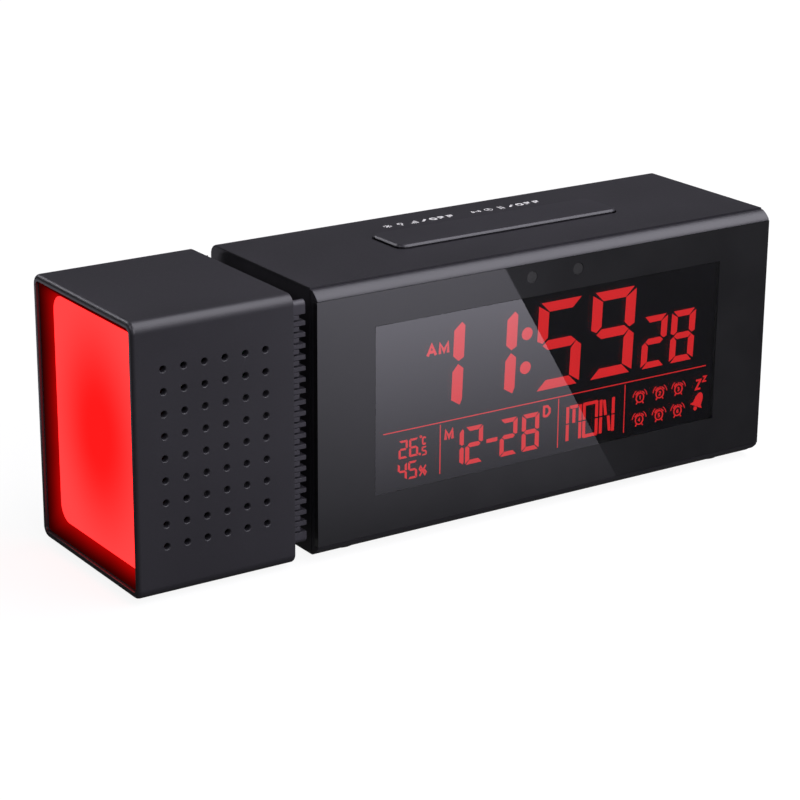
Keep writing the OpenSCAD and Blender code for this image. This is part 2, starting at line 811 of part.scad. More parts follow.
// The front frame: rounded strips, a panel seat and the posts behind it
module front_frame() {
    color("#3a3a3e") difference() {
        union() {
            intersection() {
                along_x(main_x, main_l) section(0);
                block([main_x - 1, front_y - 1, base_z - 1], [tail_x + 1, seam_y, roof_z + 1]);
            }
            intersection() {
                along_x(main_x + seam_in, main_l - 2 * seam_in) section(seam_in);
                block([main_x, seam_y - eps, base_z], [tail_x, case_y, roof_z]);
            }
            frame_lip();
            for (x = post_xs, z = post_zs)
                rod_y(x, seam_y - eps, z, post_r, post_split - seam_y + eps);
            board_screw_places() rotate([90, 0, 0]) cylinder(r = boss_r, h = board_y - seam_y + eps);
        }
        block([main_x - 1, front_y - 1, base_z + strip_h], [tail_x + 1, front_y + panel_t, roof_z - strip_h]);
        along_y(front_y, frame_t + 1) translate([main_mid, window_z])
            square([pocket_w, pocket_h], center = true);
        for (x = sensor_xs)
            rod_y(x, front_y, sensor_z, capsule_r + run_fit, frame_t + 3);
        for (x = post_xs, z = post_zs)
            rod_y(x, long_tip_y - 0.5, z, long_screw_r + run_fit, post_split - long_tip_y + 1.5);
        board_screw_places() translate([0, 1, 0]) rotate([90, 0, 0]) cylinder(r = pilot_r, h = 5.5);
    }
}

// The lip that pushes into the case
module frame_lip() {
    difference() {
        block([hollow_x0 + fit, seam_y - eps, hollow_z0 + fit],
            [hollow_x1 - fit, case_y + lip_l, hollow_z1 - fit]);
        block([hollow_x0 + fit + lip_t, seam_y - 1, hollow_z0 + fit + lip_t],
            [hollow_x1 - fit - lip_t, case_y + lip_l + 1, hollow_z1 - fit - lip_t]);
    }
}

// Where the main board's screws go, at the board's front face
module board_screw_places() {
    for (sx = [-1, 1], sz = [-1, 1])
        translate([main_mid + sx * boss_x, board_y, window_z + sz * boss_z]) children();
}

// The dark front panel with its window
module front_panel() {
    color("#26262a") difference() {
        block([main_x, front_y, base_z + strip_h + panel_gap],
            [tail_x, front_y + panel_t, roof_z - strip_h - panel_gap]);
        along_y(front_y - 1, panel_t + 2) translate([main_mid, window_z])
            square([window_w, window_h], center = true);
        for (x = sensor_xs)
            rod_y(x, front_y - 1, sensor_z, sensor_r + run_fit, panel_t + 2);
    }
}

// The clear window over the display
module display_lens() {
    color("#15151c", 0.6) along_y(front_y, panel_t)
        translate([main_mid, window_z]) square([window_w - panel_gap, window_h - panel_gap], center = true);
}

// The tinted windows over the light sensor and the microphone
module sensor_windows() {
    color("#0c0c10") for (x = sensor_xs)
        rod_y(x, front_y + 0.1, sensor_z, sensor_r, panel_t - 0.1);
}

// The light sensor and the microphone behind their windows
module sensor_capsules() {
    color("#8a8a90") for (x = sensor_xs)
        rod_y(x, front_y + panel_t, sensor_z, capsule_r, capsule_l);
}

// The display glass
module lcd_glass() {
    color("#101018") along_y(glass_y, glass_t)
        translate([main_mid, window_z]) square([glass_w, glass_h], center = true);
}

// The lit figures on the display glass
module lcd_segments() {
    color("#e02a2e") along_y(ink_y, ink_t) translate([figures_x, figures_z]) figures();
}

// The light-spreading plate behind the display glass
module backlight_plate() {
    color("#f2e4e4")
    block([main_mid - glass_w / 2 + led_bar_w + 0.1, light_y, window_z - glass_h / 2 + strip_zone],
        [main_mid + glass_w / 2, light_y + light_t, window_z + glass_h / 2]);
}

// The row of lamps at the edge of the backlight plate
module backlight_leds() {
    led_x = main_mid - glass_w / 2;
    led_count = 5;
    color("#f0d8c0") {
        block([led_x, light_y, window_z - glass_h / 2 + strip_zone], [led_x + 0.9, light_y + light_t,
            window_z + glass_h / 2]);
        for (i = [0 : led_count - 1])
            translate([led_x + 0.9, light_y + light_t / 2 - 1, window_z + (i - (led_count - 1) / 2) * 7.5])
                cube([led_bar_w - 0.9, 2, 3]);
    }
}

// The white tray that holds the glass and the backlight against the front frame
module lcd_holder() {
    color("#e8e8e4") difference() {
        along_y(case_y, board_y - case_y) translate([main_mid, window_z])
            square([pocket_w + 2 * holder_wall, pocket_h + 2 * holder_wall], center = true);
        along_y(case_y - 1, floor_y - case_y + 1) translate([main_mid, window_z])
            square([pocket_w, pocket_h], center = true);
        along_y(floor_y - 1, holder_floor + 2)
            translate([main_mid, window_z - glass_h / 2 + strip_lift + strip_w / 2])
                square([window_w - 2 * strip_end + 2, strip_w + 0.4], center = true);
        for (x = sensor_xs)
            rod_y(x, case_y - 1, sensor_z, capsule_r + fit, capsule_l + 2);
    }
}

// The rubber contact strip from the glass to the main board
module contact_strip() {
    color("#c65f7a")
    block([main_mid - window_w / 2 + strip_end, light_y, window_z - glass_h / 2 + strip_lift],
        [main_mid + window_w / 2 - strip_end, board_y, window_z - glass_h / 2 + strip_lift + strip_w]);
}

// The main board, notched around the long posts
module main_board() {
    color("#1f5a35") difference() {
        along_y(board_y, board_t) translate([main_mid, window_z]) square([board_w, board_h], center = true);
        for (x = post_xs, z = post_zs)
            rod_y(x, board_y - 1, z, post_r + 0.4, board_t + 2);
        board_screw_places() translate([0, 3, 0]) rotate([90, 0, 0]) cylinder(r = screw_r + 0.2, h = 5);
    }
}

// What is soldered to the back of the main board
module board_parts() {
    color("#1a1a1c") {
        for (chip = chips)
            translate([main_mid + chip[0], board_back, window_z + chip[1]])
                cube([chip[2], chip[4], chip[3]]);
        for (x = can_xs)
            rod_y(main_mid + x, board_back, window_z + can_z, can_r, can_l);
        harness_header();
    }
}

// The header that the wire harness plugs onto
module harness_header() {
    translate([harness_x1 - header_w / 2, board_back, axis_z - header_h / 2])
        cube([header_w, plug_l, header_h]);
}

// The small screws of the main body: boards, tray and power board
module small_screws() {
    color("#9a9a9e") {
        board_screw_places() translate([0, board_t, 0]) rotate([-90, 0, 0])
            screw(screw_r, board_screw_l, screw_head_r, screw_head_h);
        for (x = key_post_xs)
            translate([x, key_board_y0, key_z]) rotate([90, 0, 0])
                screw(screw_r, board_screw_l, screw_head_r, screw_head_h);
        roof_screw_places() translate([0, 0, -tray_t]) rotate([180, 0, 0])
            screw(screw_r, board_screw_l, screw_head_r, screw_head_h);
        power_screw_places() translate([0, 0, board_t])
            screw(screw_r, power_screw_l, screw_head_r, screw_head_h);
    }
}

// ---- Rear side ----

// The rear cover with its openings and the posts on its inside
module rear_cover() {
    color("#2a2a2d") difference() {
        union() {
            block([hollow_x0 + fit, cover_y, hollow_z0 + fit],
                [hollow_x1 - fit, cover_back, hollow_z1 - fit]);
            for (x = post_xs, z = post_zs)
                rod_y(x, post_split, z, post_r, cover_y - post_split + eps);
            for (x = key_post_xs)
                rod_y(x, key_board_y1, key_z, small_post_r, cover_y - key_board_y1 + eps);
            for (sx = [-1, 1])
                rod_y(vent_mid[0] + sx * (climate_w / 2 - 1.6), cover_y - climate_gap,
                    vent_mid[1] - climate_h / 2 + 1.8, 1.5, climate_gap + eps);
        }
        for (x = post_xs, z = post_zs) {
            rod_y(x, post_split - 1, z, long_screw_r + run_fit, cover_back - post_split + 2);
            rod_y(x, long_head_y, z, long_head_r + 0.15, 3);
        }
        for (x = key_xs)
            along_y(cover_y - 1, cover_t + 2) translate([x, key_z])
                rounded(key_w + 0.4, key_h + 0.4, 1.4);
        for (x = key_post_xs)
            rod_y(x, key_board_y1 - 1, key_z, pilot_r, 7);
        rod_y(main_mid + power_x, cover_y - 1, power_axis_z, power_r + 1, cover_t + 2);
        along_y(cover_y - 1, cover_t + 2) translate([main_mid + usb_x, usb_axis_z])
            rounded(usb_w + 0.6, usb_h + 0.6, 0.6);
        along_y(cover_back - door_t, door_t + 1) translate(door_mid) rounded(door_a, door_a, 1.5);
        along_y(cover_y - 1, cover_t + 1) translate(door_mid)
            rounded(door_a - 2 * door_ledge, door_a - 2 * door_ledge, 1.5);
        for (i = [0 : vent_count - 1])
            along_y(cover_y - 1, cover_t + 2)
                translate(vent_mid + [(i - (vent_count - 1) / 2) * vent_pitch, 0])
                    rounded(vent_w, vent_l, vent_w / 2 - eps);
    }
}

// The four long screws that clamp cover, case and front frame
module case_screws() {
    color("#3c3c40") for (x = post_xs, z = post_zs)
        translate([x, long_head_y, z]) rotate([-90, 0, 0])
            screw(long_screw_r, long_screw_l, long_head_r, long_head_h);
}

// The board behind the rear keys
module key_board() {
    color("#1f5a35") difference() {
        along_y(key_board_y0, board_t) translate([main_mid - key_board_w / 2, key_z - key_board_down])
            square([key_board_w, key_board_up + key_board_down]);
        for (x = key_post_xs)
            rod_y(x, key_board_y0 - 1, key_z, screw_r + 0.2, board_t + 2);
    }
}

// The push switches of the rear keys and of the top bar
module tact_switches() {
    color("#4a4a50") {
        for (x = key_xs)
            translate([x, key_board_y1, key_z]) rotate([-90, 0, 0]) tact_switch();
        for (s = [-1, 1])
            translate([bar_x + s * plunger_x, bar_y, rocker_board_z]) tact_switch();
    }
}

// One rear key: a cap through the cover, a flange behind it and a stem
module rear_key(index) {
    translate([key_xs[index], 0, key_z]) {
        along_y(cover_y - 0.2, cover_t + 0.2 + key_proud) rounded(key_w, key_h, 1.2);
        along_y(key_back, flange_t) rounded(key_w + 2 * flange_rim, key_h + 2 * flange_rim, 1.2);
        rod_y(0, key_back - stem_l, 0, stem_r, stem_l + eps);
    }
}

module key_set() {
    color("#37373b") rear_key(0);
}

module key_up() {
    color("#37373b") rear_key(1);
}

module key_down() {
    color("#37373b") rear_key(2);
}

module key_alarm() {
    color("#37373b") rear_key(3);
}

module key_radio() {
    color("#37373b") rear_key(4);
}

module key_projector() {
    color("#37373b") rear_key(5);
}

// The board on the case floor that carries both sockets
module power_board() {
    color("#1f5a35") difference() {
        block([power_board_x0, cover_y - fit - power_board_l, power_board_z],
            [power_board_x1, cover_y - fit, power_top]);
        for (x = post_xs)
            rod_y(x, post_split, post_zs[0], post_r + 0.4, cover_y);
        power_screw_places() translate([0, 0, -1]) cylinder(r = screw_r + 0.2, h = 4);
    }
}

// The low-voltage inlet with its centre pin
module power_socket() {
    color("#1c1c1e") {
        difference() {
            translate([main_mid + power_x - power_body[0] / 2, cover_y - fit - power_body[1], power_top])
                cube(power_body);
            rod_y(main_mid + power_x, cover_y - fit - inlet_depth, power_axis_z, power_r, inlet_depth + 1);
        }
        rod_y(main_mid + power_x, cover_y - fit - inlet_depth - eps, power_axis_z, inlet_pin_r, inlet_pin_l);
    }
}

// The charging port: a sheet-metal shell with a tongue
module usb_socket() {
    color("#b8b8bc") {
        difference() {
            translate([main_mid + usb_x - usb_w / 2, cover_y - fit - usb_l, power_top])
                cube([usb_w, usb_l, usb_h]);
            translate([main_mid + usb_x - usb_w / 2 + sheet_t, port_floor_y, power_top + sheet_t])
                cube([usb_w - 2 * sheet_t, usb_l, usb_h - 2 * sheet_t]);
        }
        translate([main_mid + usb_x - usb_w / 2 + 1, port_floor_y - eps, usb_axis_z + 0.2])
            cube([usb_w - 2, tongue_l, tongue_t]);
    }
}

// The temperature and humidity sensor behind the vents
module climate_sensor() {
    color("#2a6a48") {
        along_y(cover_y - climate_gap - small_board_t, small_board_t) translate(vent_mid)
            square([climate_w, climate_h], center = true);
        translate([vent_mid[0] - sensor_a / 2, cover_y - climate_gap - eps, vent_mid[1] - sensor_a / 2])
            cube([sensor_a, sensor_t, sensor_a]);
    }
}

// The battery door with two locating ribs and a nail notch
module battery_door() {
    rib = 1.2;
    length = 10;
    reach = door_a - 2 * door_ledge - 2 * fit;
    color("#2e2e32") difference() {
        union() {
            along_y(cover_back - door_t, door_t) translate(door_mid)
                rounded(door_a - 2 * fit, door_a - 2 * fit, 1.5);
            for (sx = [-1, 1])
                translate([door_mid[0] + sx * (reach / 2 - rib / 2) - rib / 2,
                    cover_back - door_t - door_rib_d, door_mid[1] - length / 2])
                    cube([rib, door_rib_d + eps, length]);
        }
        along_y(cover_back - 0.6, 1) translate(door_mid + [0, door_a / 2 - 2.2]) rounded(8, 2, 0.9);
    }
}

// The backup coin cell
module coin_cell() {
    color("#c8c8cc") union() {
        rod_y(door_mid[0], cell_y, door_mid[1], cell_r, cell_t - 0.6);
        rod_y(door_mid[0], cell_y + cell_t - 0.6 - eps, door_mid[1], cell_r - 1.2, 0.6);
    }
}

// The pocket behind the rear cover that holds the coin cell
module cell_holder() {
    color("#1c1c1e") difference() {
        along_y(cell_y - cell_floor, cover_y - cell_y + cell_floor) translate(door_mid)
            square([holder_a, holder_a], center = true);
        rod_y(door_mid[0], cell_y, door_mid[1], cell_r + run_fit, cover_y - cell_y + 1);
    }
}

// ---- Top bar ----

// The rocking bar on top with its pivot pins and plungers
module rocker_bar() {
    color("#303034") {
        difference() {
            along_z(roof_z - bar_under, bar_under + bar_proud)
                translate([bar_x, bar_y]) rounded(bar_l, bar_d, bar_r);
            along_z(roof_z - bar_under - 1, bar_under + bar_proud - bar_top_t + 1)
                translate([bar_x, bar_y]) square([bar_l - 2 * bar_wall, bar_d - 2 * bar_wall], center = true);
        }
        block([bar_x - pivot_web / 2, bar_y - bar_d / 2 + bar_wall - 0.2, pivot_z - pivot_r - 0.5],
            [bar_x + pivot_web / 2, bar_y + bar_d / 2 - bar_wall + 0.2,
                roof_z + bar_proud - bar_top_t + eps]);
        rod_y(bar_x, bar_y - pivot_half, pivot_z, pivot_r, 2 * pivot_half);
        for (s = [-1, 1])
            rod_z(bar_x + s * plunger_x, bar_y, plunger_z, plunger_r,
                roof_z + bar_proud - bar_top_t - plunger_z + eps);
    }
}

// The tray under the roof: it carries the bar's pivot and its switch board
module rocker_tray() {
    color("#48484c") difference() {
        union() {
            along_z(tray_z, tray_t) translate([bar_x, bar_y]) square([tray_l, tray_d], center = true);
            for (s = [-1, 1])
                translate([bar_x - ear_w / 2, bar_y + s * (ear_in + ear_t / 2) - ear_t / 2, tray_z])
                    cube([ear_w, ear_t, hollow_z1 - 0.3 - tray_z]);
        }
        roof_screw_places() translate([0, 0, -tray_t - 1]) cylinder(r = screw_r + 0.2, h = tray_t + 2);
        rod_y(bar_x, bar_y - bar_d, pivot_z, pivot_r + run_fit, 2 * bar_d);
    }
}

// The switch board on the tray
module rocker_board() {
    color("#1f5a35") along_z(rocker_board_z - small_board_t, small_board_t) translate([bar_x, bar_y])
        square([2 * (plunger_x + rocker_board_over), bar_d - 2 * rocker_board_in], center = true);
}

// Where the feet sit
module foot_places() {
    for (x = [main_x + foot_end, tail_x - foot_end], y = [front_y + foot_side, rear_y - foot_side])
        translate([x, y, 0]) children();
}

// The four rubber feet in their recesses
module rubber_feet() {
    color("#1a1a1a") foot_places() cylinder(r = foot_r, h = foot_h + foot_seat);
}

// ---- Swivel ----

// The plastic bush in the end wall
module swivel_bush() {
    color("#d8d4c8") difference() {
        union() {
            rod_x(bush_x, 0, axis_z, bush_flange_r, bush_flange_t);
            rod_x(main_x - eps, 0, axis_z, bush_r, end_wall + bush_in + eps);
        }
        rod_x(bush_x - 1, 0, axis_z, hub_r + run_fit, end_wall + bush_in + bush_flange_t + 2);
    }
}

// The washer that gives the swivel its drag
module friction_washer() {
    color("#b09a5c") difference() {
        rod_x(washer_x, 0, axis_z, retainer_r, washer_t);
        rod_x(washer_x - 1, 0, axis_z, hub_r + 0.3, washer_t + 2);
    }
}

// The cable bundle through the hollow hub, with its plug on the main board
module wire_harness() {
    color("#9a2020") {
        rod_x(harness_x0, 0, axis_z, harness_r, harness_x1 - harness_x0);
        translate([harness_x1, 0, axis_z]) sphere(harness_r);
        rod_y(harness_x1, board_back + plug_l, axis_z, harness_r, -board_back - plug_l);
    }
}

// The retaining ring on the hub, with the stop lug
module swivel_retainer() {
    color("#c8c8c4") along_x(retainer_x, retainer_t) translate([0, axis_z]) difference() {
        union() {
            circle(retainer_r);
            intersection() {
                circle(lug_r);
                polygon([[0, 0], for (a = [-0.5, 0.5])
                    2 * lug_r * [sin(a * lug_angle), -cos(a * lug_angle)]]);
            }
        }
        circle(hub_r + run_fit);
    }
}

// ---- Swivel head ----

// The head's shell: open at the lamp end, closed towards the neck
module head_shell() {
    color("#2e2e32") difference() {
        union() {
            difference() {
                along_x(head_x, head_l) section(0);
                along_x(head_x - 1, head_l - head_end + 1) translate([0, axis_z])
                    rounded(mouth_d, mouth_h, mouth_r);
            }
            rod_y(speaker_x, mesh_y - eps, axis_z, speaker_r + 0.2 + speaker_wall_t, mesh_t + 2.2);
            intersection() {
                rod_y(projector_x, dish_y - dish_wall, axis_z, dish_r + dish_wall,
                    inner_back - dish_y + dish_wall + eps);
                block([lamp_back + 0.1, 0, base_z], [neck_x, rear_y, roof_z]);
            }
            head_board_places() rod_x(board_t, 0, 0, small_post_r, head_back - head_board_x - board_t + eps);
        }
        rod_y(speaker_x, mesh_y, axis_z, speaker_r + 0.2, 10);
        for (i = [0 : grille_columns - 1], j = [0 : grille_rows - 1])
            rod_y(head_x + grille_x + i * grille_pitch, front_y - 1,
                grille_z + (j - (grille_rows - 1) / 2) * grille_pitch, grille_r, head_wall + 2);
        rod_y(projector_x, dish_y, axis_z, dish_r, dish_t + 1);
        rod_y(projector_x, dish_y - dish_wall - 1, axis_z, ring_neck_r + 0.15, dish_wall + 2);
        rod_x(head_back - 1, 0, axis_z, hub_bore, head_end + 2);
        collar_screw_places() rod_x(-1, 0, 0, screw_r + 0.2, head_end + 2);
        head_board_places() rod_x(0, 0, 0, pilot_r, head_back - head_board_x + head_end - 0.4);
    }
}

// Where the head board's screws go, at the board's front face
module head_board_places() {
    for (s = [-1, 1])
        translate([head_board_x, head_board_mid, axis_z + s * (head_board_h / 2 - 4)]) children();
}

// Where the collar's screws go, at the inner face of the neck wall
module collar_screw_places() {
    for (sy = [-1, 1], sz = [-1, 1])
        translate([head_back, sy * (case_d / 2 - collar_screw_in), axis_z + sz * collar_screw_up]) children();
}

// The ribbed collar with the swivel hub
module neck_collar() {
    rib_y = case_d / 2 - collar_in;
    core_y = rib_y - rib_depth;
    mid_z = axis_z + collar_lift;
    rib_mid = mid_z - 0.2;
    rib_reach = (rib_count + 1) / 2 * rib_pitch - rib_w / 2;
    color("#3c3c40") difference() {
        union() {
            along_x(neck_x, rib_l) translate([0, rib_mid])
                square([2 * core_y, 2 * (rib_reach + rib_w)], center = true);
            for (s = [-1, 1], i = [-1 : rib_count])
                collar_rib(s, rib_y, core_y, rib_mid + (i - (rib_count - 1) / 2) * rib_pitch, rib_l);
            for (s = [-1, 1], i = [0 : rib_count])
                collar_rib(s, rib_y, core_y, rib_mid + (i - rib_count / 2) * rib_pitch + 0.15, short_rib_l);
            along_x(neck_x, rib_l) translate([0, mid_z]) difference() {
                rounded(2 * rib_y, collar_h, collar_r);
                square([2 * (rib_y - end_plate_t), collar_h + 1], center = true);
                translate([0, rib_mid - mid_z]) square([2 * rib_y + 1, 2 * rib_reach], center = true);
            }
            rod_x(neck_x + rib_l - eps, 0, axis_z, hub_r + 3, bush_x - 0.1 - neck_x - rib_l + eps);
            rod_x(neck_x, 0, axis_z, hub_r, hub_end - neck_x);
        }
        rod_x(neck_x - 1, 0, axis_z, hub_bore, hub_end - neck_x + 2);
        collar_screw_places() rod_x(head_end - eps, 0, 0, pilot_r, collar_pilot_l);
    }
}

// One rib of the collar, on the front (side -1) or the back (side 1)
module collar_rib(side, outer, core, z, l) {
    block([neck_x, min(side * (core - eps), side * outer), z - rib_w / 2],
        [neck_x + l, max(side * (core - eps), side * outer), z + rib_w / 2]);
}

// The screws inside the head: collar and head board
module head_screws() {
    color("#9a9a9e") {
        collar_screw_places() rotate([0, -90, 0]) screw(screw_r, collar_screw_l, screw_head_r, head_screw_h);
        head_board_places() rotate([0, -90, 0])
            screw(screw_r, head_board_screw_l, screw_head_r, head_screw_h);
    }
}

// The sloping frame around the light panel, with a skirt behind it
module lamp_bezel() {
    color("#222226") difference() {
        along_x(head_x + lamp_lip, lamp_back - head_x - lamp_lip) translate([0, axis_z])
            rounded(bezel_d, bezel_h, mouth_r);
        along_x(diffuser_x, lamp_back - diffuser_x + 1) translate([0, axis_z])
            square([bezel_pocket_d, bezel_pocket_h], center = true);
        bezel_throat();
    }
}

// The opening of the bezel, wide at the lip and narrow at the light panel
module bezel_throat() {
    hull() {
        along_x(head_x + lamp_lip - eps, eps) translate([0, axis_z])
            rounded(case_d - 2 * lip_margin, case_h - 2 * lip_margin, 2, $fn = 32);
        along_x(diffuser_x + eps, eps) translate([0, axis_z])
            rounded(case_d - 2 * lamp_side, case_h - 2 * lamp_end, lamp_r, $fn = 32);
    }
}

// The milky light panel
module lamp_diffuser() {
    color("#ff2b2b") along_x(diffuser_x, diffuser_t) translate([0, axis_z])
        square([bezel_pocket_d - 2 * fit, bezel_pocket_h - 2 * fit], center = true);
}

// The clear plate that spreads the lamp's light
module lamp_guide() {
    color("#f4eaea", 0.8) along_x(guide_x, guide_t) translate([0, axis_z])
        square([bezel_pocket_d - 2 * fit, guide_h], center = true);
}

// The white sheet behind the light guide
module lamp_reflector() {
    color("#f4f4f4") along_x(reflector_x, reflector_t) translate([0, axis_z])
        square([bezel_pocket_d - 2 * fit, bezel_pocket_h - 2 * fit], center = true);
}

// The two strips of lamps above and below the light guide
module lamp_leds() {
    led_w = 3;
    led_pitch = 6;
    color("#f2e2a0") for (s = [-1, 1])
        translate([guide_x, 0, axis_z]) {
            translate([0, -bezel_pocket_d / 2 + fit, s * (guide_h / 2 + led_t + strip_t / 2) - strip_t / 2])
                cube([guide_t, bezel_pocket_d - 2 * fit, strip_t]);
            for (i = [0 : lamp_led_count - 1])
                translate([0.5, (i - (lamp_led_count - 1) / 2) * led_pitch - led_w / 2,
                    s * (guide_h / 2 + led_t / 2) - led_t / 2]) cube([guide_t - 1, led_w, led_t]);
        }
}

// The fine mesh between the grille and the loudspeaker
module grille_mesh() {
    color("#141416") rod_y(speaker_x, mesh_y, axis_z, speaker_r, mesh_t);
}

// A ring or cup of revolution about the loudspeaker's axis, drawn as radius and depth
module speaker_turned() {
    translate([speaker_x, speaker_y, axis_z]) rotate([-90, 0, 0]) rotate_extrude() children();
}

// The loudspeaker's basket
module speaker_basket() {
    cup = speaker_t - magnet_t;
    color("#55555a") speaker_turned()
        polygon([[speaker_r, 0], [speaker_r, speaker_flange_t], [speaker_r - 1, speaker_flange_t],
            [magnet_r + 1, cup], [3, cup], [3, cup - 0.8], [magnet_r + 0.4, cup - 0.8],
            [speaker_r - 2.2, 0.6], [speaker_r - 2.2, 0]]);
}

// The loudspeaker's cone with its dust cap
module speaker_cone() {
    cup = speaker_t - magnet_t - 0.8;
    color("#2a2a2e") speaker_turned()
        polygon([[0, cup - 2.6], [2.6, cup - 1.9], [speaker_r - 3.2, 0.7], [speaker_r - 2.5, 0.3],
            [speaker_r - 2.5, 0.8], [speaker_r - 3.2, 1.2], [2.8, cup - 1.2], [2.8, cup], [2.4, cup],
            [2.4, cup - 1.4], [0, cup - 2]]);
}

// The loudspeaker's magnet
module speaker_magnet() {
    color("#8c8c90") speaker_turned()
        translate([0, speaker_t - magnet_t]) square([magnet_r, magnet_t]);
}

// The projector tube, open at both ends, with a seat for the slide and a shoulder that stops the barrel
module projector_tube() {
    color("#1f1f22") difference() {
        rod_y(projector_x, tube_start, axis_z, tube_r, tube_l);
        rod_y(projector_x, tube_start - 1, axis_z, tube_bore, slide_seat_y - tube_start + 1);
        rod_y(projector_x, slide_seat_y + slide_seat_t, axis_z, tube_bore - shoulder_in, tube_l);
        rod_y(projector_x, shoulder_y, axis_z, tube_bore, tube_l);
        along_y(slide_seat_y - 1, slide_seat_t + 2) translate([projector_x, axis_z])
            square([slide_gate_w, slide_gate_h], center = true);
    }
}

// The projector's lamp on its round board
module projector_light() {
    color("#2a6a48") {
        rod_y(projector_x, tube_start - small_board_t, axis_z, tube_r, small_board_t);
        translate([projector_x - light_a / 2, tube_start - eps, axis_z - light_a / 2])
            cube([light_a, light_h, light_a]);
    }
}

// The condenser lens, flat towards the lamp
module condenser_lens() {
    color("#e8f0f4", 0.5) translate([projector_x, condenser_y, axis_z]) rotate([-90, 0, 0]) intersection() {
        cylinder(r = tube_bore - run_fit, h = condenser_t + 1);
        translate([0, 0, condenser_t - condenser_bulge]) sphere(r = condenser_bulge, $fn = 96);
    }
}

// The tiny display that is projected
module time_slide() {
    color("#303848") along_y(slide_seat_y + slide_seat_t, slide_t) translate([projector_x, axis_z])
        square([slide_w, slide_h], center = true);
}

// The sliding lens barrel with the flange that guides it in the tube
module lens_barrel() {
    color("#101012") difference() {
        union() {
            rod_y(projector_x, barrel_start, axis_z, barrel_r, barrel_l);
            rod_y(projector_x, barrel_start, axis_z, tube_bore - run_fit, barrel_flange_t);
        }
        rod_y(projector_x, barrel_start - 1, axis_z, barrel_r - barrel_wall - lens_lip, barrel_l + 2);
        rod_y(projector_x, barrel_end - lens_seat, axis_z, barrel_r - barrel_wall, lens_seat + 1);
    }
}

// The projection lens in the barrel
module projection_lens() {
    color("#b8c8e0", 0.5) translate([projector_x, barrel_end - lens_seat + lens_t / 2, axis_z])
        rotate([-90, 0, 0]) intersection() {
            translate([0, 0, -lens_t / 2]) cylinder(r = lens_r, h = lens_t);
            translate([0, 0, lens_t / 2 - lens_bulge]) sphere(r = lens_bulge, $fn = 96);
            translate([0, 0, lens_bulge - lens_t / 2]) sphere(r = lens_bulge, $fn = 96);
        }
}

// The knurled focus ring in its finger recess
module focus_ring() {
    color("#38383c") difference() {
        union() {
            rod_y(projector_x, ring_rim_y, axis_z, ring_r, ring_top - ring_rim_y);
            rod_y(projector_x, ring_end, axis_z, ring_neck_r, ring_rim_y - ring_end + eps);
            rod_y(projector_x, ring_end, axis_z, ring_neck_r + 0.9, ring_flange_t);
        }
        rod_y(projector_x, ring_end - 1, axis_z, barrel_r + run_fit, ring_top - ring_end + 2);
        for (i = [0 : knurls - 1])
            translate([projector_x, ring_rim_y - 0.1, axis_z]) rotate([0, i * 360 / knurls, 0])
                translate([ring_r, 0, 0]) rotate([-90, 0, 0])
                    cylinder(r = knurl_r, h = ring_top - ring_rim_y - 0.5, $fn = 16);
    }
}

// The board that drives the lamp, the loudspeaker and the projector
module head_board() {
    color("#1f5a35") {
        difference() {
            block([head_board_x, head_board_y0, axis_z - head_board_h / 2],
                [head_board_x + board_t, head_board_y1, axis_z + head_board_h / 2]);
            head_board_places() rod_x(-1, 0, 0, screw_r + 0.2, board_t + 2);
        }
        block([head_board_x + board_t - eps, -3, axis_z - 3], [head_back - 0.3, 3, axis_z + 3]);
    }
}

case_body();
front_frame();
front_panel();
display_lens();
sensor_windows();
sensor_capsules();
lcd_glass();
lcd_segments();
backlight_plate();
backlight_leds();
lcd_holder();
contact_strip();
main_board();
board_parts();
small_screws();
rear_cover();
case_screws();
key_board();
tact_switches();
key_set();
key_up();
key_down();
key_alarm();
key_radio();
key_projector();
power_board();
power_socket();
usb_socket();
climate_sensor();
battery_door();
coin_cell();
cell_holder();
rocker_bar();
rocker_tray();
rocker_board();
rubber_feet();
swivel_bush();
friction_washer();
wire_harness();
head_shell();
neck_collar();
head_screws();
swivel_retainer();
lamp_bezel();
lamp_diffuser();
lamp_guide();
lamp_reflector();
lamp_leds();
speaker_basket();
speaker_cone();
speaker_magnet();
grille_mesh();
projector_tube();
projector_light();
condenser_lens();
time_slide();
lens_barrel();
projection_lens();
focus_ring();
head_board();
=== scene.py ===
"""Projection alarm clock: looks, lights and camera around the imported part."""
import json
import math

import bmesh
import bpy
import numpy as np
from mathutils import Matrix, Vector


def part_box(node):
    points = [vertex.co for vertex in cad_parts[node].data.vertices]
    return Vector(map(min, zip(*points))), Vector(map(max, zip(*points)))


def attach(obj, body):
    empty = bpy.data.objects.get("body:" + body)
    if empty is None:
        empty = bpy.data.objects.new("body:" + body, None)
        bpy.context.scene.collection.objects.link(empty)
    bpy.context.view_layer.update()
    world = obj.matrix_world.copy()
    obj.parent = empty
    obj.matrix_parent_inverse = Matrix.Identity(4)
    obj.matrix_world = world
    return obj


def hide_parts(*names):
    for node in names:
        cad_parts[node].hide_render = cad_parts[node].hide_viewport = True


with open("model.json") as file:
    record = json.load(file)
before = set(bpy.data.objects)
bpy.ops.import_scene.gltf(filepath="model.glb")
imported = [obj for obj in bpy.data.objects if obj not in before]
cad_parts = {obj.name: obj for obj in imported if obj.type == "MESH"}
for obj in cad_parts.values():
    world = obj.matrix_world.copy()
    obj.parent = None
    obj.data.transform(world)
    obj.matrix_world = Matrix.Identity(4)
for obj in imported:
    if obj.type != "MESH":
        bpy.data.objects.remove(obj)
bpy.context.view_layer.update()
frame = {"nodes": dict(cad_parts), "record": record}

MM = 0.001
X, Y, Z = 0, 1, 2
record = frame["record"]
BODY_OF = {node: body for body, nodes in record["behaviour"]["bodies"].items() for node in nodes}
SLOT_OF = {row["node"]: row["material_slot"] for row in record["subparts"]}
scene = bpy.context.scene

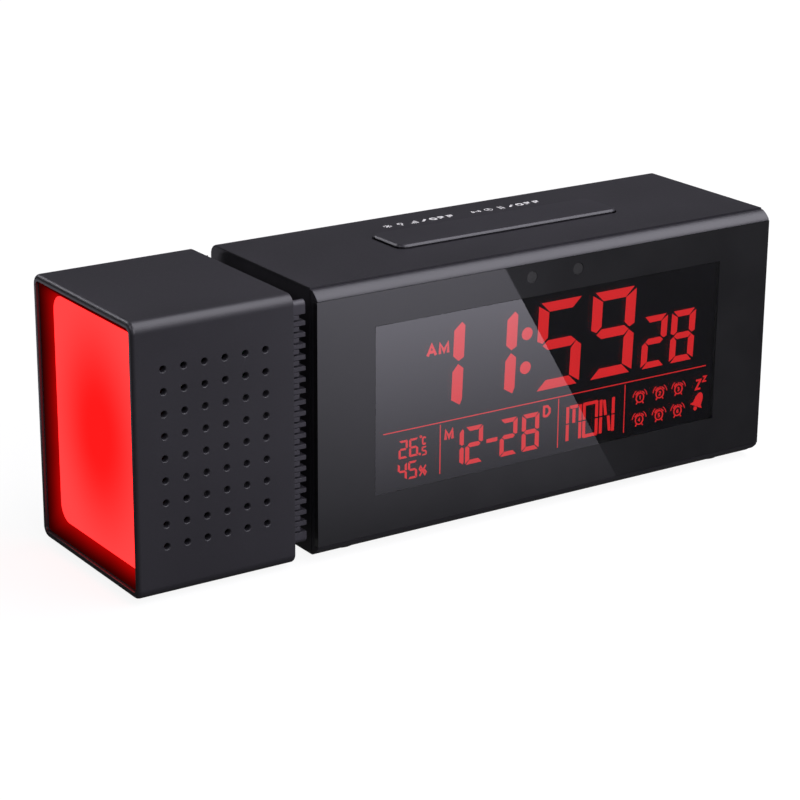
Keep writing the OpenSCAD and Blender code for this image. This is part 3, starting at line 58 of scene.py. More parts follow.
# ---- Camera ----
camera_data = bpy.data.cameras.new("camera")
camera = bpy.data.objects.new("camera", camera_data)
scene.collection.objects.link(camera)
camera.location = (-0.3163, -0.4648, 0.2163)
camera.rotation_euler = (1.240, 0.0, -0.570)
camera_data.lens = 113.0
camera_data.sensor_width = 36.0
camera_data.shift_x = 0.0619
camera_data.shift_y = 0.0046
scene.camera = camera

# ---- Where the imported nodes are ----
CASE_LOW, CASE_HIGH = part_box("case_body")
FRAME_LOW, FRAME_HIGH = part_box("front_frame")
HEAD_LOW, HEAD_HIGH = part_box("head_shell")
LAMP_LOW, LAMP_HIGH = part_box("lamp_diffuser")
SEGMENTS_LOW, SEGMENTS_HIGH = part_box("lcd_segments")
PANEL_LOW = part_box("front_panel")[0]
WINDOW_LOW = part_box("display_lens")[0]
BEZEL_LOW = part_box("lamp_bezel")[0]
COVER_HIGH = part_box("rear_cover")[1]
BAR_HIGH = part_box("rocker_bar")[1]


# ---- Shader parts ----
def wire(tree, kind, sockets=None, **settings):
    """Adds a node. Each of the sockets gets a link where its value is an output, else the value."""
    node = tree.nodes.new("ShaderNode" + kind)
    for name, value in settings.items():
        setattr(node, name, value)
    for key, value in (sockets or {}).items():
        if isinstance(value, bpy.types.NodeSocket):
            tree.links.new(value, node.inputs[key])
        else:
            node.inputs[key].default_value = value
    return node


def math_of(tree, operation, *values):
    """One Math node on the given values or outputs."""
    return wire(tree, "Math", dict(enumerate(values)), operation=operation).outputs[0]


def mix_of(tree, factor, first, second):
    """A blend of two colours by a factor."""
    return wire(tree, "Mix", {0: factor, 6: first, 7: second}, data_type="RGBA").outputs[2]


def noise_of(tree, place, scale, detail):
    """Noise over the surface, of a scale per metre."""
    sockets = {"Vector": place, "Scale": scale, "Detail": detail}
    return wire(tree, "TexNoise", sockets).outputs["Fac"]


def share_of(tree, first, share, second):
    """The share times the first value and the rest times the second."""
    return math_of(tree, "MULTIPLY_ADD", first, share, math_of(tree, "MULTIPLY", second, 1 - share))


def spread(tree, value, low, high, out_low, out_high, **settings):
    """A value's span from low to high, laid over out_low to out_high and held there."""
    sockets = {0: value, 1: low, 2: high, 3: out_low, 4: out_high}
    return wire(tree, "MapRange", sockets, **settings).outputs[0]


def axes_of(tree, place):
    """The X, Y and Z of a place."""
    return wire(tree, "SeparateXYZ", {0: place}).outputs


def object_place(tree):
    """The object's own coordinates."""
    return wire(tree, "TexCoord").outputs["Object"]


def new_material(name):
    """A material with its node tree and its shader."""
    material = bpy.data.materials.new(name)
    material.use_nodes = True
    return material, material.node_tree, material.node_tree.nodes["Principled BSDF"]


GROUP_INPUTS = {"Dark": "Color", "Light": "Color", "Smooth": "Float", "Rough": "Float",
                "Grain": "Float"}
GROUP_OUTPUTS = {"Color": "Color", "Roughness": "Float", "Height": "Float"}
NOISE_LOW, NOISE_HIGH = 0.35, 0.65         # the span that holds nearly all of a noise's values
MOULD_CLOUDS, ROLL_CLOUDS = 38.0, 160.0    # clouds per metre
FINE_SHARE, LINE_SHARE = 0.5, 0.65         # of the shade: the rest is the clouds'
CELL_HEIGHT = 0.6                          # the cells' height beside the fine noise's
ROLL_STRETCH = 12


def effect_group(draw):
    """A shader group with named inputs and outputs. Its drawing gives a shade and a height over the
    surface, and the shade goes from Dark to Light and from Smooth to Rough over a noise's span."""
    tree = bpy.data.node_groups.new(draw.__name__, "ShaderNodeTree")
    for way, sockets in (("INPUT", GROUP_INPUTS), ("OUTPUT", GROUP_OUTPUTS)):
        for label, kind in sockets.items():
            tree.interface.new_socket(name=label, in_out=way, socket_type="NodeSocket" + kind)
    given = tree.nodes.new("NodeGroupInput").outputs
    leave = tree.nodes.new("NodeGroupOutput").inputs
    shade, height = draw(tree, given, object_place(tree))
    factor = spread(tree, shade, NOISE_LOW, NOISE_HIGH, 0.0, 1.0)
    gloss = spread(tree, shade, NOISE_LOW, NOISE_HIGH, given["Smooth"], given["Rough"])
    tree.links.new(mix_of(tree, factor, given["Dark"], given["Light"]), leave["Color"])
    tree.links.new(gloss, leave["Roughness"])
    tree.links.new(height, leave["Height"])
    return tree


def moulded_grain(tree, given, place):
    """Spark-eroded plastic: small cells and fine noise make the height, and the fine noise with
    slow clouds, a few centimetres across, makes the shade."""
    cells = wire(tree, "TexVoronoi", {"Vector": place, "Scale": given["Grain"]}).outputs["Distance"]
    fine = noise_of(tree, place, given["Grain"], 3.0)
    cloud = noise_of(tree, place, MOULD_CLOUDS, 3.0)
    height = math_of(tree, "MULTIPLY_ADD", cells, CELL_HEIGHT, fine)
    return share_of(tree, fine, FINE_SHARE, cloud), height


def rolled_metal(tree, given, place):
    """Rolled or turned metal: noise stretched twelve times along X draws the lines of the rolls,
    and slow clouds dull the polish."""
    along = wire(tree, "Mapping", {"Vector": place, "Scale": (1 / ROLL_STRETCH, 1.0, 1.0)})
    lines = noise_of(tree, along.outputs[0], given["Grain"], 4.0)
    cloud = noise_of(tree, place, ROLL_CLOUDS, 2.0)
    return share_of(tree, lines, LINE_SHARE, cloud), lines


def polished_depth(tree, given, place):
    """Polished or clear stock: faint clouds of colour and a trace of handling in the gloss."""
    cloud = noise_of(tree, place, given["Grain"], 4.0)
    return cloud, cloud


GRAIN = effect_group(moulded_grain)
METAL = effect_group(rolled_metal)
POLISH = effect_group(polished_depth)


# ---- Finishes ----
def finish(slot, group, colours, gloss, grain, relief=0.0, own=None):
    """A material of one slot: the group's colour and gloss feed the shader and its height the bump,
    with the relief in millimetres. What is the same all over stands on the shader's own sockets."""
    material, tree, shader = new_material(slot)
    effect = tree.nodes.new("ShaderNodeGroup")
    effect.node_tree = group
    for label, value in zip(GROUP_INPUTS, (*colours, *gloss, grain)):
        effect.inputs[label].default_value = value
    tree.links.new(effect.outputs["Color"], shader.inputs["Base Color"])
    tree.links.new(effect.outputs["Roughness"], shader.inputs["Roughness"])
    if relief:
        sockets = {"Height": effect.outputs["Height"], "Distance": relief * MM, "Strength": 1.0}
        tree.links.new(wire(tree, "Bump", sockets).outputs[0], shader.inputs["Normal"])
    for label, value in (own or {}).items():
        shader.inputs[label].default_value = value
    return material


# Tints: the blacks of the mouldings lean to violet, and the display's to blue
NEUTRAL, WARM = (1.0, 1.0, 1.0), (1.0, 0.99, 0.96)
COOL, INKY = (1.06, 1.0, 1.22), (1.0, 0.97, 2.3)


def greys(dark, light, tint=NEUTRAL):
    """A dark and a light level as two colours that lean to the tint."""
    return [(*(level * part for part in tint), 1.0) for level in (dark, light)]


BARE_METAL = {"Metallic": 1.0}
LACQUER = {"Coat Weight": 1.0, "Coat Roughness": 0.02, "Specular IOR Level": 0.25}
DULL = {"Specular IOR Level": 0.05}
TINTED = {"Transmission Weight": 1.0, "IOR": 1.49, "Coat Weight": 1.0, "Coat Roughness": 0.0,
          "Coat IOR": 1.8}
CLEAR = {"Transmission Weight": 1.0, "IOR": 1.5}

# Per slot: the group, the dark and the light colour, the gloss from smooth to rough, the grain per
# metre, the relief in millimetres and the shader's own values
FINISHES = {
    "case_plastic": (GRAIN, greys(0.0172, 0.0215, COOL), (0.40, 0.46), 2400, 0.006),
    "frame_plastic": (GRAIN, greys(0.019, 0.024, COOL), (0.36, 0.42), 2400, 0.004),
    "collar_plastic": (GRAIN, greys(0.028, 0.035, COOL), (0.42, 0.5), 2400, 0.006),
    "key_plastic": (GRAIN, greys(0.022, 0.028, COOL), (0.38, 0.45), 2600, 0.005),
    "bar_plastic": (GRAIN, greys(0.02, 0.025, COOL), (0.36, 0.42), 2600, 0.004),
    "ring_plastic": (GRAIN, greys(0.02, 0.026), (0.4, 0.48), 2600, 0.005),
    "tube_black": (GRAIN, greys(0.012, 0.016), (0.5, 0.6), 3000, 0.006),
    "component_black": (GRAIN, greys(0.014, 0.022), (0.45, 0.55), 3000, 0.006),
    "white_plastic": (GRAIN, greys(0.62, 0.7, WARM), (0.4, 0.5), 1500, 0.004),
    "foot_rubber": (GRAIN, greys(0.015, 0.022), (0.7, 0.82), 1800, 0.02),
    "contact_rubber": (GRAIN, greys(0.03, 0.3), (0.6, 0.7), 900, 0.01),
    "wire_jacket": (GRAIN, ((0.4, 0.02, 0.02, 1), (0.5, 0.04, 0.03, 1)), (0.4, 0.5), 1200, 0.004),
    "switch_parts": (GRAIN, greys(0.05, 0.12), (0.35, 0.5), 700, 0.004),
    "lamp_parts": (GRAIN, ((0.75, 0.6, 0.25, 1), (0.85, 0.75, 0.45, 1)), (0.25, 0.35), 900),
    "light_plate": (GRAIN, ((0.75, 0.6, 0.6, 1), (0.85, 0.72, 0.72, 1)), (0.2, 0.35), 1100, 0.01),
    "cone_paper": (GRAIN, greys(0.02, 0.045), (0.75, 0.9), 1500, 0.03),
    "mesh_cloth": (GRAIN, greys(0.002, 0.004), (0.8, 0.9), 3500, 0.05),
    "board_green": (GRAIN, ((0.01, 0.09, 0.03, 1), (0.015, 0.13, 0.045, 1)), (0.25, 0.35), 1400,
                    0.002),
    "screw_steel": (METAL, greys(0.45, 0.6), (0.25, 0.38), 1500, 0.002, BARE_METAL),
    "screw_black": (METAL, greys(0.03, 0.05), (0.3, 0.42), 1500, 0.002, BARE_METAL),
    "port_metal": (METAL, greys(0.5, 0.66), (0.2, 0.32), 1200, 0.001, BARE_METAL),
    "cell_metal": (METAL, greys(0.55, 0.68), (0.18, 0.3), 1300, 0.001, BARE_METAL),
    "speaker_metal": (METAL, greys(0.3, 0.42), (0.3, 0.42), 1000, 0.002, BARE_METAL),
    "magnet_metal": (METAL, greys(0.25, 0.36), (0.35, 0.45), 1000, 0.002, BARE_METAL),
    "sensor_metal": (METAL, greys(0.4, 0.55), (0.2, 0.3), 1500, 0.001, BARE_METAL),
    "washer_brass": (METAL, ((0.55, 0.4, 0.14, 1), (0.68, 0.5, 0.2, 1)), (0.22, 0.36), 1300, 0.002,
                     BARE_METAL),
    "panel_plastic": (POLISH, greys(0.0125, 0.0155, (1, 1, 1.05)), (0.3, 0.34), 60, 0.0, LACQUER),
    "sensor_tint": (POLISH, greys(0.032, 0.038), (0.1, 0.14), 300),
    "display_glass": (POLISH, greys(0.008, 0.010, INKY), (0.2, 0.24), 40, 0.0, DULL),
    "tinted_window": (POLISH, greys(0.78, 0.8, (1, 1, 1.02)), (0.0, 0.004), 40, 0.0, TINTED),
    "lens_clear": (POLISH, greys(0.9, 0.94, (0.98, 1, 1)), (0.0, 0.01), 80, 0.0, CLEAR),
    "slide_glass": (POLISH, greys(0.2, 0.3), (0.02, 0.05), 200),
}
LOOKS = {slot: finish(slot, *row) for slot, row in FINISHES.items()}

TRACK_COLOUR = (0.03, 0.22, 0.07, 1)
TRACK_SHARE = 0.8      # how much of their colour the tracks show through the lacquer
TRACK_GRID, TRACK_WIDTH = 130.0, 0.035     # bricks per metre, and the joint's share of a brick


def show_tracks(material):
    """Lays copper tracks under a board's lacquer, paler along the joints of a brick pattern."""
    tree = material.node_tree
    shader = tree.nodes["Principled BSDF"]
    lacquer = shader.inputs["Base Color"].links[0].from_socket
    turned = wire(tree, "Mapping", {"Vector": object_place(tree), "Rotation": (math.pi / 2, 0, 0)})
    sockets = {"Vector": turned.outputs[0], "Scale": TRACK_GRID, "Mortar Size": TRACK_WIDTH}
    tracks = math_of(tree, "MULTIPLY", wire(tree, "TexBrick", sockets).outputs["Fac"], TRACK_SHARE)
    tree.links.new(mix_of(tree, tracks, lacquer, TRACK_COLOUR), shader.inputs["Base Color"])


show_tracks(LOOKS["board_green"])

# ---- Lit surfaces, and the bezel's painted red spill ----
UNLIT = (0.0, 0.0, 0.0, 1)
LAMP_MIDDLE, LAMP_HALF = (LAMP_LOW + LAMP_HIGH) / 2, (LAMP_HIGH - LAMP_LOW) / 2
LAMP_STRENGTH = 2.5
LAMP_DEEP, LAMP_PALE = 0.0103, 0.0625      # green and blue light, in the middle and at the borders
PALER_FROM, PALER_TO = 0.2, 1.15           # where that change starts and ends, in half widths
# The bezel's red is painted light: it glows, though it is no lamp, in place of the lamp's spill on
# its walls
PAINTED_SPILL_RED = (0.42, 0.0008, 0.0008, 1)
SPILL_LIP_SHARE = 0.3                      # the root of what is left of the painted red spill at the lip
BEZEL_SKIRT = LAMP_LOW.x + 0.02 * MM       # where its slope ends, behind the light panel
BEZEL_CLOUDS, FIGURE_CLOUDS = 55.0, 90.0   # clouds per metre
FIGURE_DEEP, FIGURE_BRIGHT = (0.88, 0.022, 0.026, 1), (0.96, 0.026, 0.030, 1)


def glowing(slot, base, strength, color_of):
    """A lit material: color_of gives the emission's colour over the surface from the object's own
    coordinates, and the strength is plain."""
    material = finish(slot, POLISH, (base, base), (0.3, 0.36), 90, 0.0,
                      {"Emission Strength": strength, "Specular IOR Level": 0.0})
    tree = material.node_tree
    shader = tree.nodes["Principled BSDF"]
    tree.links.new(color_of(tree, object_place(tree)), shader.inputs["Emission Color"])
    return material


def lamp_colour(tree, place):
    """Red, deepest in the middle: the distance from the lamp's centre line, in half widths and half
    heights, lifts green and blue towards the borders."""
    along = axes_of(tree, place)
    side = math_of(tree, "DIVIDE", along["Y"], LAMP_HALF.y)
    up = math_of(tree, "DIVIDE", math_of(tree, "SUBTRACT", along["Z"], LAMP_MIDDLE.z), LAMP_HALF.z)
    squares = [math_of(tree, "MULTIPLY", share, share) for share in (side, up)]
    out = math_of(tree, "SQRT", math_of(tree, "ADD", *squares))
    factor = spread(tree, out, PALER_FROM, PALER_TO, 0.0, 1.0, interpolation_type="SMOOTHSTEP")
    deep, pale = LAMP_DEEP / LAMP_STRENGTH, LAMP_PALE / LAMP_STRENGTH
    return mix_of(tree, factor, (1.0, deep, deep, 1), (1.0, pale, pale, 1))


def painted_bezel_spill(tree, place):
    """Painted red spill: the bezel glows, though it is no lamp, where the lamp's light would fall
    on its walls. It is strongest where its slope meets the light panel, fainter towards the lip
    with the square of the way between, and none on the skirt behind the panel."""
    depth = axes_of(tree, place)["X"]
    share = spread(tree, depth, BEZEL_LOW.x, LAMP_LOW.x, SPILL_LIP_SHARE, 1.0)
    slope = math_of(tree, "LESS_THAN", depth, BEZEL_SKIRT)
    uneven = math_of(tree, "ADD", noise_of(tree, place, BEZEL_CLOUDS, 1.0), 0.5)
    level = math_of(tree, "MULTIPLY", math_of(tree, "MULTIPLY", share, share), uneven)
    return mix_of(tree, math_of(tree, "MULTIPLY", level, slope), UNLIT, PAINTED_SPILL_RED)


def figure_colour(tree, place):
    """Lit red, a little uneven as the backlight spreads."""
    return mix_of(tree, noise_of(tree, place, FIGURE_CLOUDS, 1.0), FIGURE_DEEP, FIGURE_BRIGHT)


# The lamp panel and the display are lit; the bezel's glow is a painted red spill from the lamp
for slot, base, strength, color_of in (
        ("lamp_milk", (0.25, 0.006, 0.006, 1), LAMP_STRENGTH, lamp_colour),
        ("display_red", (0.2, 0.004, 0.004, 1), 1.0, figure_colour),
        ("bezel_plastic", (0.006, 0.0015, 0.0015, 1), 1.0, painted_bezel_spill)):
    LOOKS[slot] = glowing(slot, base, strength, color_of)

for node, item in frame["nodes"].items():
    item.data.materials.clear()
    item.data.materials.append(LOOKS[SLOT_OF[node]])

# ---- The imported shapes, welded and with their sharp edges eased ----
WELD, ON_PLANE = 0.002 * MM, 0.01 * MM
SHARP, COPLANAR = math.radians(42.0), math.radians(0.4)
AXIS_Z = (HEAD_LOW.z + HEAD_HIGH.z) / 2
HALF_DEPTH, HALF_HEIGHT = HEAD_HIGH.y, (HEAD_HIGH.z - HEAD_LOW.z) / 2
HEAD_WALL = 1.6 * MM
OUTLINE_BAND = 0.9 * HEAD_WALL     # how far in from the outside an outer edge may lie


def place_piece(name, mesh, body, slot):
    """Links a mesh as a piece that rides on a body and takes its finish from a slot."""
    piece = bpy.data.objects.new(name, mesh)
    scene.collection.objects.link(piece)
    mesh.materials.clear()
    mesh.materials.append(LOOKS[slot])
    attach(piece, body)
    return piece


def on_outline(middle):
    """True on the outer edge of the case's and the head's section."""
    return (abs(middle.y) > HALF_DEPTH - OUTLINE_BAND
            or abs(middle.z - AXIS_Z) > HALF_HEIGHT - OUTLINE_BAND)


def off_outline(middle):
    """True on everything inside that outer edge."""
    return not on_outline(middle)


def off_left_end(middle):
    """True more than a millimetre right of the panel's left end."""
    return middle.x > PANEL_LOW.x + MM


def round_over(shell, axis, level, radius, segments=2, where=None, profile=0.5, held=True):
    """Rounds the sharp edges that lie in the plane at a level on an axis, where their middle passes
    the test, to a radius in millimetres. A profile of a half is round, and of a quarter flat.
    Unless it is held, the radius may be longer than the short edges round a hole."""
    edges = [edge for edge in shell.edges
             if all(abs(vertex.co[axis] - level) < ON_PLANE for vertex in edge.verts)
             and edge.calc_face_angle(0.0) > SHARP
             and (where is None or where((edge.verts[0].co + edge.verts[1].co) / 2))]
    bmesh.ops.bevel(shell, geom=edges, offset=radius * MM, offset_type="OFFSET", segments=segments,
                    profile=profile, affect="EDGES", clamp_overlap=held)


# Per node and round-over: the plane's axis and level, the radius in millimetres, the segments, the
# test of the edge's middle, the profile and whether the radius is held
ROUNDINGS = {
    "case_body": [(X, CASE_LOW.x, 0.4, 2, on_outline), (X, CASE_HIGH.x, 0.4, 2, on_outline),
                  (Y, CASE_HIGH.y, 0.3), (Z, CASE_HIGH.z, 0.25, 2, off_outline)],
    "front_frame": [(X, FRAME_LOW.x, 0.4, 2, on_outline), (X, FRAME_HIGH.x, 0.4, 2, on_outline)],
    "head_shell": [(X, HEAD_LOW.x, 1.0, 4, on_outline), (X, HEAD_LOW.x, 0.25, 2, off_outline),
                   (X, HEAD_HIGH.x, 0.4, 2, on_outline), (Y, HEAD_LOW.y, 0.24, 2, None, 0.3, False),
                   (Y, HEAD_HIGH.y, 0.3)],
    "front_panel": [(Y, PANEL_LOW.y, 0.2, 2, off_left_end)],
    "rear_cover": [(Y, COVER_HIGH.y, 0.2)],
    "rocker_bar": [(Z, BAR_HIGH.z, 0.57, 4, None, 0.34)],
    "lamp_bezel": [(X, BEZEL_LOW.x, 0.15)],
}

# Per node: where the undercut's slope starts and ends, in millimetres under the roof, and its depth
UNDERCUTS = {"rocker_bar": (-0.32, 0.1, 0.5)}
UNDERCUT_FLAT = 0.3        # how far the wall stays drawn in below the slope


def undercut(shell, start, end, depth):
    """Draws a block's wall in below its upper edge: from the start to the end, both in millimetres
    under the case's roof, the wall slopes inwards by the depth, and it stays there a little way."""
    levels = [CASE_HIGH.z - down * MM for down in (start, end, end + UNDERCUT_FLAT)]
    for level in levels:
        bmesh.ops.bisect_plane(shell, geom=[*shell.verts, *shell.edges, *shell.faces],
                               plane_co=(0, 0, level), plane_no=(0, 0, 1))
    ring = [vertex for vertex in shell.verts
            if min(abs(vertex.co.z - level) for level in levels[1:]) < ON_PLANE]
    places = np.array([vertex.co[:] for vertex in ring])
    middle, half = (places.max(axis=0) + places.min(axis=0)) / 2, np.ptp(places, axis=0) / 2
    bmesh.ops.scale(shell, vec=(1 - depth * MM / half[X], 1 - depth * MM / half[Y], 1.0),
                    space=Matrix.Translation(-Vector(middle)), verts=ring)


STRIP_RADIUS = 2.6 * MM
STRIP_POWER = 1.35
STRIP_SINK = 0.42 * MM
STRIP_OUTSIDE = 0.99       # share of the radius beyond which a point is on the strip's outside
STRIP_BEHIND = 0.2         # how far behind the quarter circle its roof still sinks, in radii
HAIR = 0.001


def flatter_strips(vertices):
    """Draws the frame's quarter-round strips in towards their chord: a point at (a, b) on the unit
    quarter circle goes to the curve a^n + b^n = 1, and the strip's upper edge sinks below the
    case's roof, which opens the shadow line between them."""
    middle = (FRAME_LOW.z + FRAME_HIGH.z) / 2
    reach = FRAME_HIGH.z - middle - STRIP_RADIUS
    side = np.sign(vertices[:, Z] - middle)
    a = (FRAME_LOW.y + STRIP_RADIUS - vertices[:, Y]) / STRIP_RADIUS
    b = (np.abs(vertices[:, Z] - middle) - reach) / STRIP_RADIUS
    outer = (a > -STRIP_BEHIND) & (b > -HAIR) & (np.hypot(np.maximum(a, 0), b) > STRIP_OUTSIDE)
    round_a, round_b = np.clip(a, 0, 1), np.clip(b, 0, 1)
    # Away from the strips both are zero, and the floor keeps the power finite
    powers = np.maximum(round_a ** STRIP_POWER + round_b ** STRIP_POWER, 0.01)
    draw = powers ** (-1 / STRIP_POWER)
    new_y = FRAME_LOW.y + STRIP_RADIUS * (1 - round_a * draw)
    new_b = round_b * draw * (1 - STRIP_SINK / STRIP_RADIUS)
    new_z = middle + side * (reach + new_b * STRIP_RADIUS)
    vertices[:, Y] = np.where(outer & (a > 0), new_y, vertices[:, Y])
    vertices[:, Z] = np.where(outer, new_z, vertices[:, Z])


RESHAPED = {"front_frame": flatter_strips}


def eased(node, radius=0.0, segments=2):
    """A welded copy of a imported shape: coplanar facets joined, its listed edges rounded over, any
    other sharp edge rounded to the radius, and normals weighted by area so that flats stay flat."""
    mesh = frame["nodes"][node].data.copy()
    if node in RESHAPED:
        places = np.empty(len(mesh.vertices) * 3, np.float32)
        mesh.vertices.foreach_get("co", places)
        RESHAPED[node](places.reshape(-1, 3))
        mesh.vertices.foreach_set("co", places)
    shell = bmesh.new()
    shell.from_mesh(mesh)
    bmesh.ops.remove_doubles(shell, verts=shell.verts, dist=WELD)
    bmesh.ops.dissolve_limit(shell, angle_limit=COPLANAR, verts=shell.verts, edges=shell.edges)
    if node in UNDERCUTS:
        undercut(shell, *UNDERCUTS[node])
    for row in ROUNDINGS.get(node, []):
        round_over(shell, *row)
    mesh.name = node + "_eased"
    for edge in shell.edges:
        edge.smooth = bool(radius) or edge.calc_face_angle(0.0) < SHARP
    shell.to_mesh(mesh)
    shell.free()
    mesh.shade_smooth()
    piece = place_piece(node + "_eased", mesh, BODY_OF[node], SLOT_OF[node])
    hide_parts(node)
    if radius:
        bevel = piece.modifiers.new("eased_edges", "BEVEL")
        bevel.width = radius * MM
        bevel.segments = segments
        bevel.limit_method = "ANGLE"
        bevel.angle_limit = SHARP
    weighted = piece.modifiers.new("flat_faces_stay_flat", "WEIGHTED_NORMAL")
    weighted.keep_sharp = True


KEYS = ("key_set", "key_up", "key_down", "key_alarm", "key_radio", "key_projector")
# Per node: the radius of all its sharp edges in millimetres, and the segments
EASED = {"neck_collar": (0.12, 2), "battery_door": (0.25, 2), "rubber_feet": (0.4, 3),
         "power_socket": (0.2, 2), "usb_socket": (0.12, 2), "focus_ring": (0.12, 2),
         "lens_barrel": (0.12, 2), **dict.fromkeys(KEYS, (0.35, 3))}
for node in ROUNDINGS:
    eased(node)
for node, row in EASED.items():
    eased(node, *row)

# ---- Plates: pairs of points (u, v, height) and faces, in millimetres, with heights 0 and 1 ----
DRAWN = 24             # points round a drawn circle
MITRE = 0.5            # the sharpest corner that a stroke's edges follow to its tip


def slab(outline):
    """A plate: the outline, a closed run of (u, v) points, carried straight from height 0 to 1."""
    points = np.array(outline, float)
    following = np.roll(points, -1, axis=0)
    if np.sum(points[:, 0] * following[:, 1] - following[:, 0] * points[:, 1]) < 0:
        points = points[::-1]
    count = len(points)
    ring = np.arange(count)
    onward = np.roll(ring, -1)
    low, high = (np.column_stack([points, np.full(count, level)]) for level in (0.0, 1.0))
    walls = np.column_stack([ring, onward, onward + count, ring + count])
    return np.vstack([low, high]), [ring[::-1], ring + count, *walls]


def stroke(run, width, closed=False):
    """A line of even width: each point of the run moves half the width to both sides along the mean
    of its two normals, lengthened to a mitre, and both edges are carried from height 0 to 1."""
    points = np.array(run, float)
    count = len(points)
    ahead = np.roll(points, -1, axis=0) - points
    behind = np.roll(ahead, 1, axis=0)
    if not closed:
        ahead[-1], behind[0] = behind[-1], ahead[0]
    first, second = (np.column_stack([-step[:, 1], step[:, 0]])
                     / np.linalg.norm(step, axis=1)[:, None] for step in (ahead, behind))
    tips = np.maximum(1 + np.sum(first * second, axis=1), MITRE)
    across = (first + second) * (width / 2 / tips)[:, None]
    rings = [np.column_stack([points + side * across, np.full(count, level)])
             for level in (0.0, 1.0) for side in (1, -1)]
    here = np.arange(count if closed else count - 1)
    onward = (here + 1) % count
    left, right, top_left, top_right = np.arange(4) * count
    sides = [(top_right + here, top_right + onward, top_left + onward, top_left + here),
             (left + here, left + onward, right + onward, right + here),
             (right + here, right + onward, top_right + onward, top_right + here),
             (left + onward, left + here, top_left + here, top_left + onward)]
    faces = [face for side in sides for face in np.column_stack(side)]
    if not closed:
        last = count - 1
        faces += [np.array([0, count, 3 * count, 2 * count]),
                  np.array([count + last, last, 2 * count + last, 3 * count + last])]
    return np.vstack(rings), faces


def circle(u, v, radius, start=0.0, turn=360.0):
    """Points on a circle, or on the arc that starts at one angle and turns by another."""
    angles = np.radians(start + np.linspace(0.0, turn, DRAWN + 1))
    if abs(turn) >= 360.0:
        angles = angles[:-1]
    return np.column_stack([u + radius * np.cos(angles), v + radius * np.sin(angles)])


def rectangle(left, low, right, high):
    """The outline of an upright rectangle."""
    return [(left, low), (right, low), (right, high), (left, high)]


def moved(parts, u=0.0, v=0.0, scale=1.0, turn=0.0):
    """The plates scaled, turned counterclockwise by degrees and then shifted."""
    c, s = scale * math.cos(math.radians(turn)), scale * math.sin(math.radians(turn))
    matrix = np.array([[c, s, 0.0], [-s, c, 0.0], [0.0, 0.0, 1.0]])
    return [(points @ matrix + (u, v, 0.0), faces) for points, faces in parts]


def inlay(name, parts, origin, right, up, thickness, slot):
    """One piece on the case from many plates: u and v run along right and up from the origin, in
    millimetres, and the height stands the thickness out from the surface."""
    starts = np.cumsum([0] + [len(points) for points, _ in parts])
    flat = np.vstack([points for points, _ in parts]) * (1.0, 1.0, thickness)
    places = (np.array(origin) + flat @ np.array([right, up, np.cross(right, up)])) * MM
    faces = [(face + start).tolist() for (_, group), start in zip(parts, starts) for face in group]
    mesh = bpy.data.meshes.new(name)
    mesh.from_pydata(places.tolist(), [], faces)
    return place_piece(name, mesh, "case", slot)


# ---- Segment figures ----
LIT = {"1": "bc", "2": "abged", "4": "fgbc", "5": "afgcd", "6": "afgecd", "8": "abcdefg",
       "9": "abcdfg"}
MIDDLE_SHARE = 0.51    # the middle bar's height in the cell


def seven_segments(figure, left, low, width, height, thick, bar, gap, chamfer):
    """The lit bars of one figure: six round the cell, with mitred ends and the outer corners cut
    off, and a pointed one across the middle, a gap apart. A one's ends are drawn out to points."""
    w, h, t, n, s, k = width, height, thick, bar, gap, chamfer
    m = MIDDLE_SHARE * h
    upper = [(0, h - s - k), (t, h - n - s), (t, m + 0.65 * t), (0.5 * t, m + 0.15 * t + s),
             (0, m + 0.45 * t)]
    lower = [(0, m - 0.45 * t), (0.5 * t, m - s), (t, m - 0.65 * t), (t, n + s), (0, s + k)]
    if figure == "1":
        upper = [(0, h - 1.56 * t / 2.9), (0.3 * t, h - 0.25 * t), (t, h - n - s), *upper[2:]]
        lower = [*lower[:3], (t, n + s - 0.2), (0.2 * t, 0.3 * t), (0, 0.75 * t)]
    bars = {"a": [(s + k, h), (w - s - k, h), (w - t - s, h - n), (t + s, h - n)],
            "b": [(w - u, v) for u, v in upper], "c": [(w - u, v) for u, v in lower],
            "d": [(s + k, 0), (t + s, n), (w - t - s, n), (w - s - k, 0)], "e": lower, "f": upper,
            "g": [(0.5 * t + s, m), (t + s, m + n / 2), (w - t - s, m + n / 2),
                  (w - 0.5 * t - s, m), (w - t - s, m - n / 2), (t + s, m - n / 2)]}
    return moved([slab(bars[name]) for name in LIT[figure]], left, low)


def figure_row(text, lefts, cell):
    """The bars of the figures of a row, each in a cell of its own."""
    return [part for figure, left in zip(text, lefts)
            for part in seven_segments(figure, left, *cell)]


DAY_WIDTH, DAY_HEIGHT, DAY_BAR, DAY_GAP = 4.5, 8.8, 0.78, 0.19


def day_letter(letter, left, low):
    """One letter of the day: two upright bars on each side, and between them what the letter has,
    which is a notch and a post, a roof and a floor, or two slanting bars."""
    w, h, t, s = DAY_WIDTH, DAY_HEIGHT, DAY_BAR, DAY_GAP
    middle = h / 2
    posts = [rectangle(u, foot, u + t, head) for u in (0, w - t)
             for foot, head in ((s, middle - s), (middle + s, h - s))]
    extra = {"M": [[(t + s, h), (w - t - s, h), (w - t - s - 0.3, h - t), (t + s + 0.3, h - t)],
                   rectangle(w / 2 - t / 2, middle, w / 2 + t / 2, h - t - s)],
             "O": [[(s, h), (w - s, h), (w - t - s, h - t), (t + s, h - t)],
                   [(s, 0), (t + s, t), (w - t - s, t), (w - s, 0)]],
             "N": [[(t + s, h - 0.4), (t + s + 0.75, h - 0.4), (w / 2 - 0.05, middle + s),
                    (w / 2 - 0.75, middle + s)],
                   [(w / 2 + 0.05, middle - s), (w / 2 + 0.75, middle - s), (w - t - s, 0.4),
                    (w - t - s - 0.75, 0.4)]]}
    return moved([slab(outline) for outline in posts + extra[letter]], left, low)


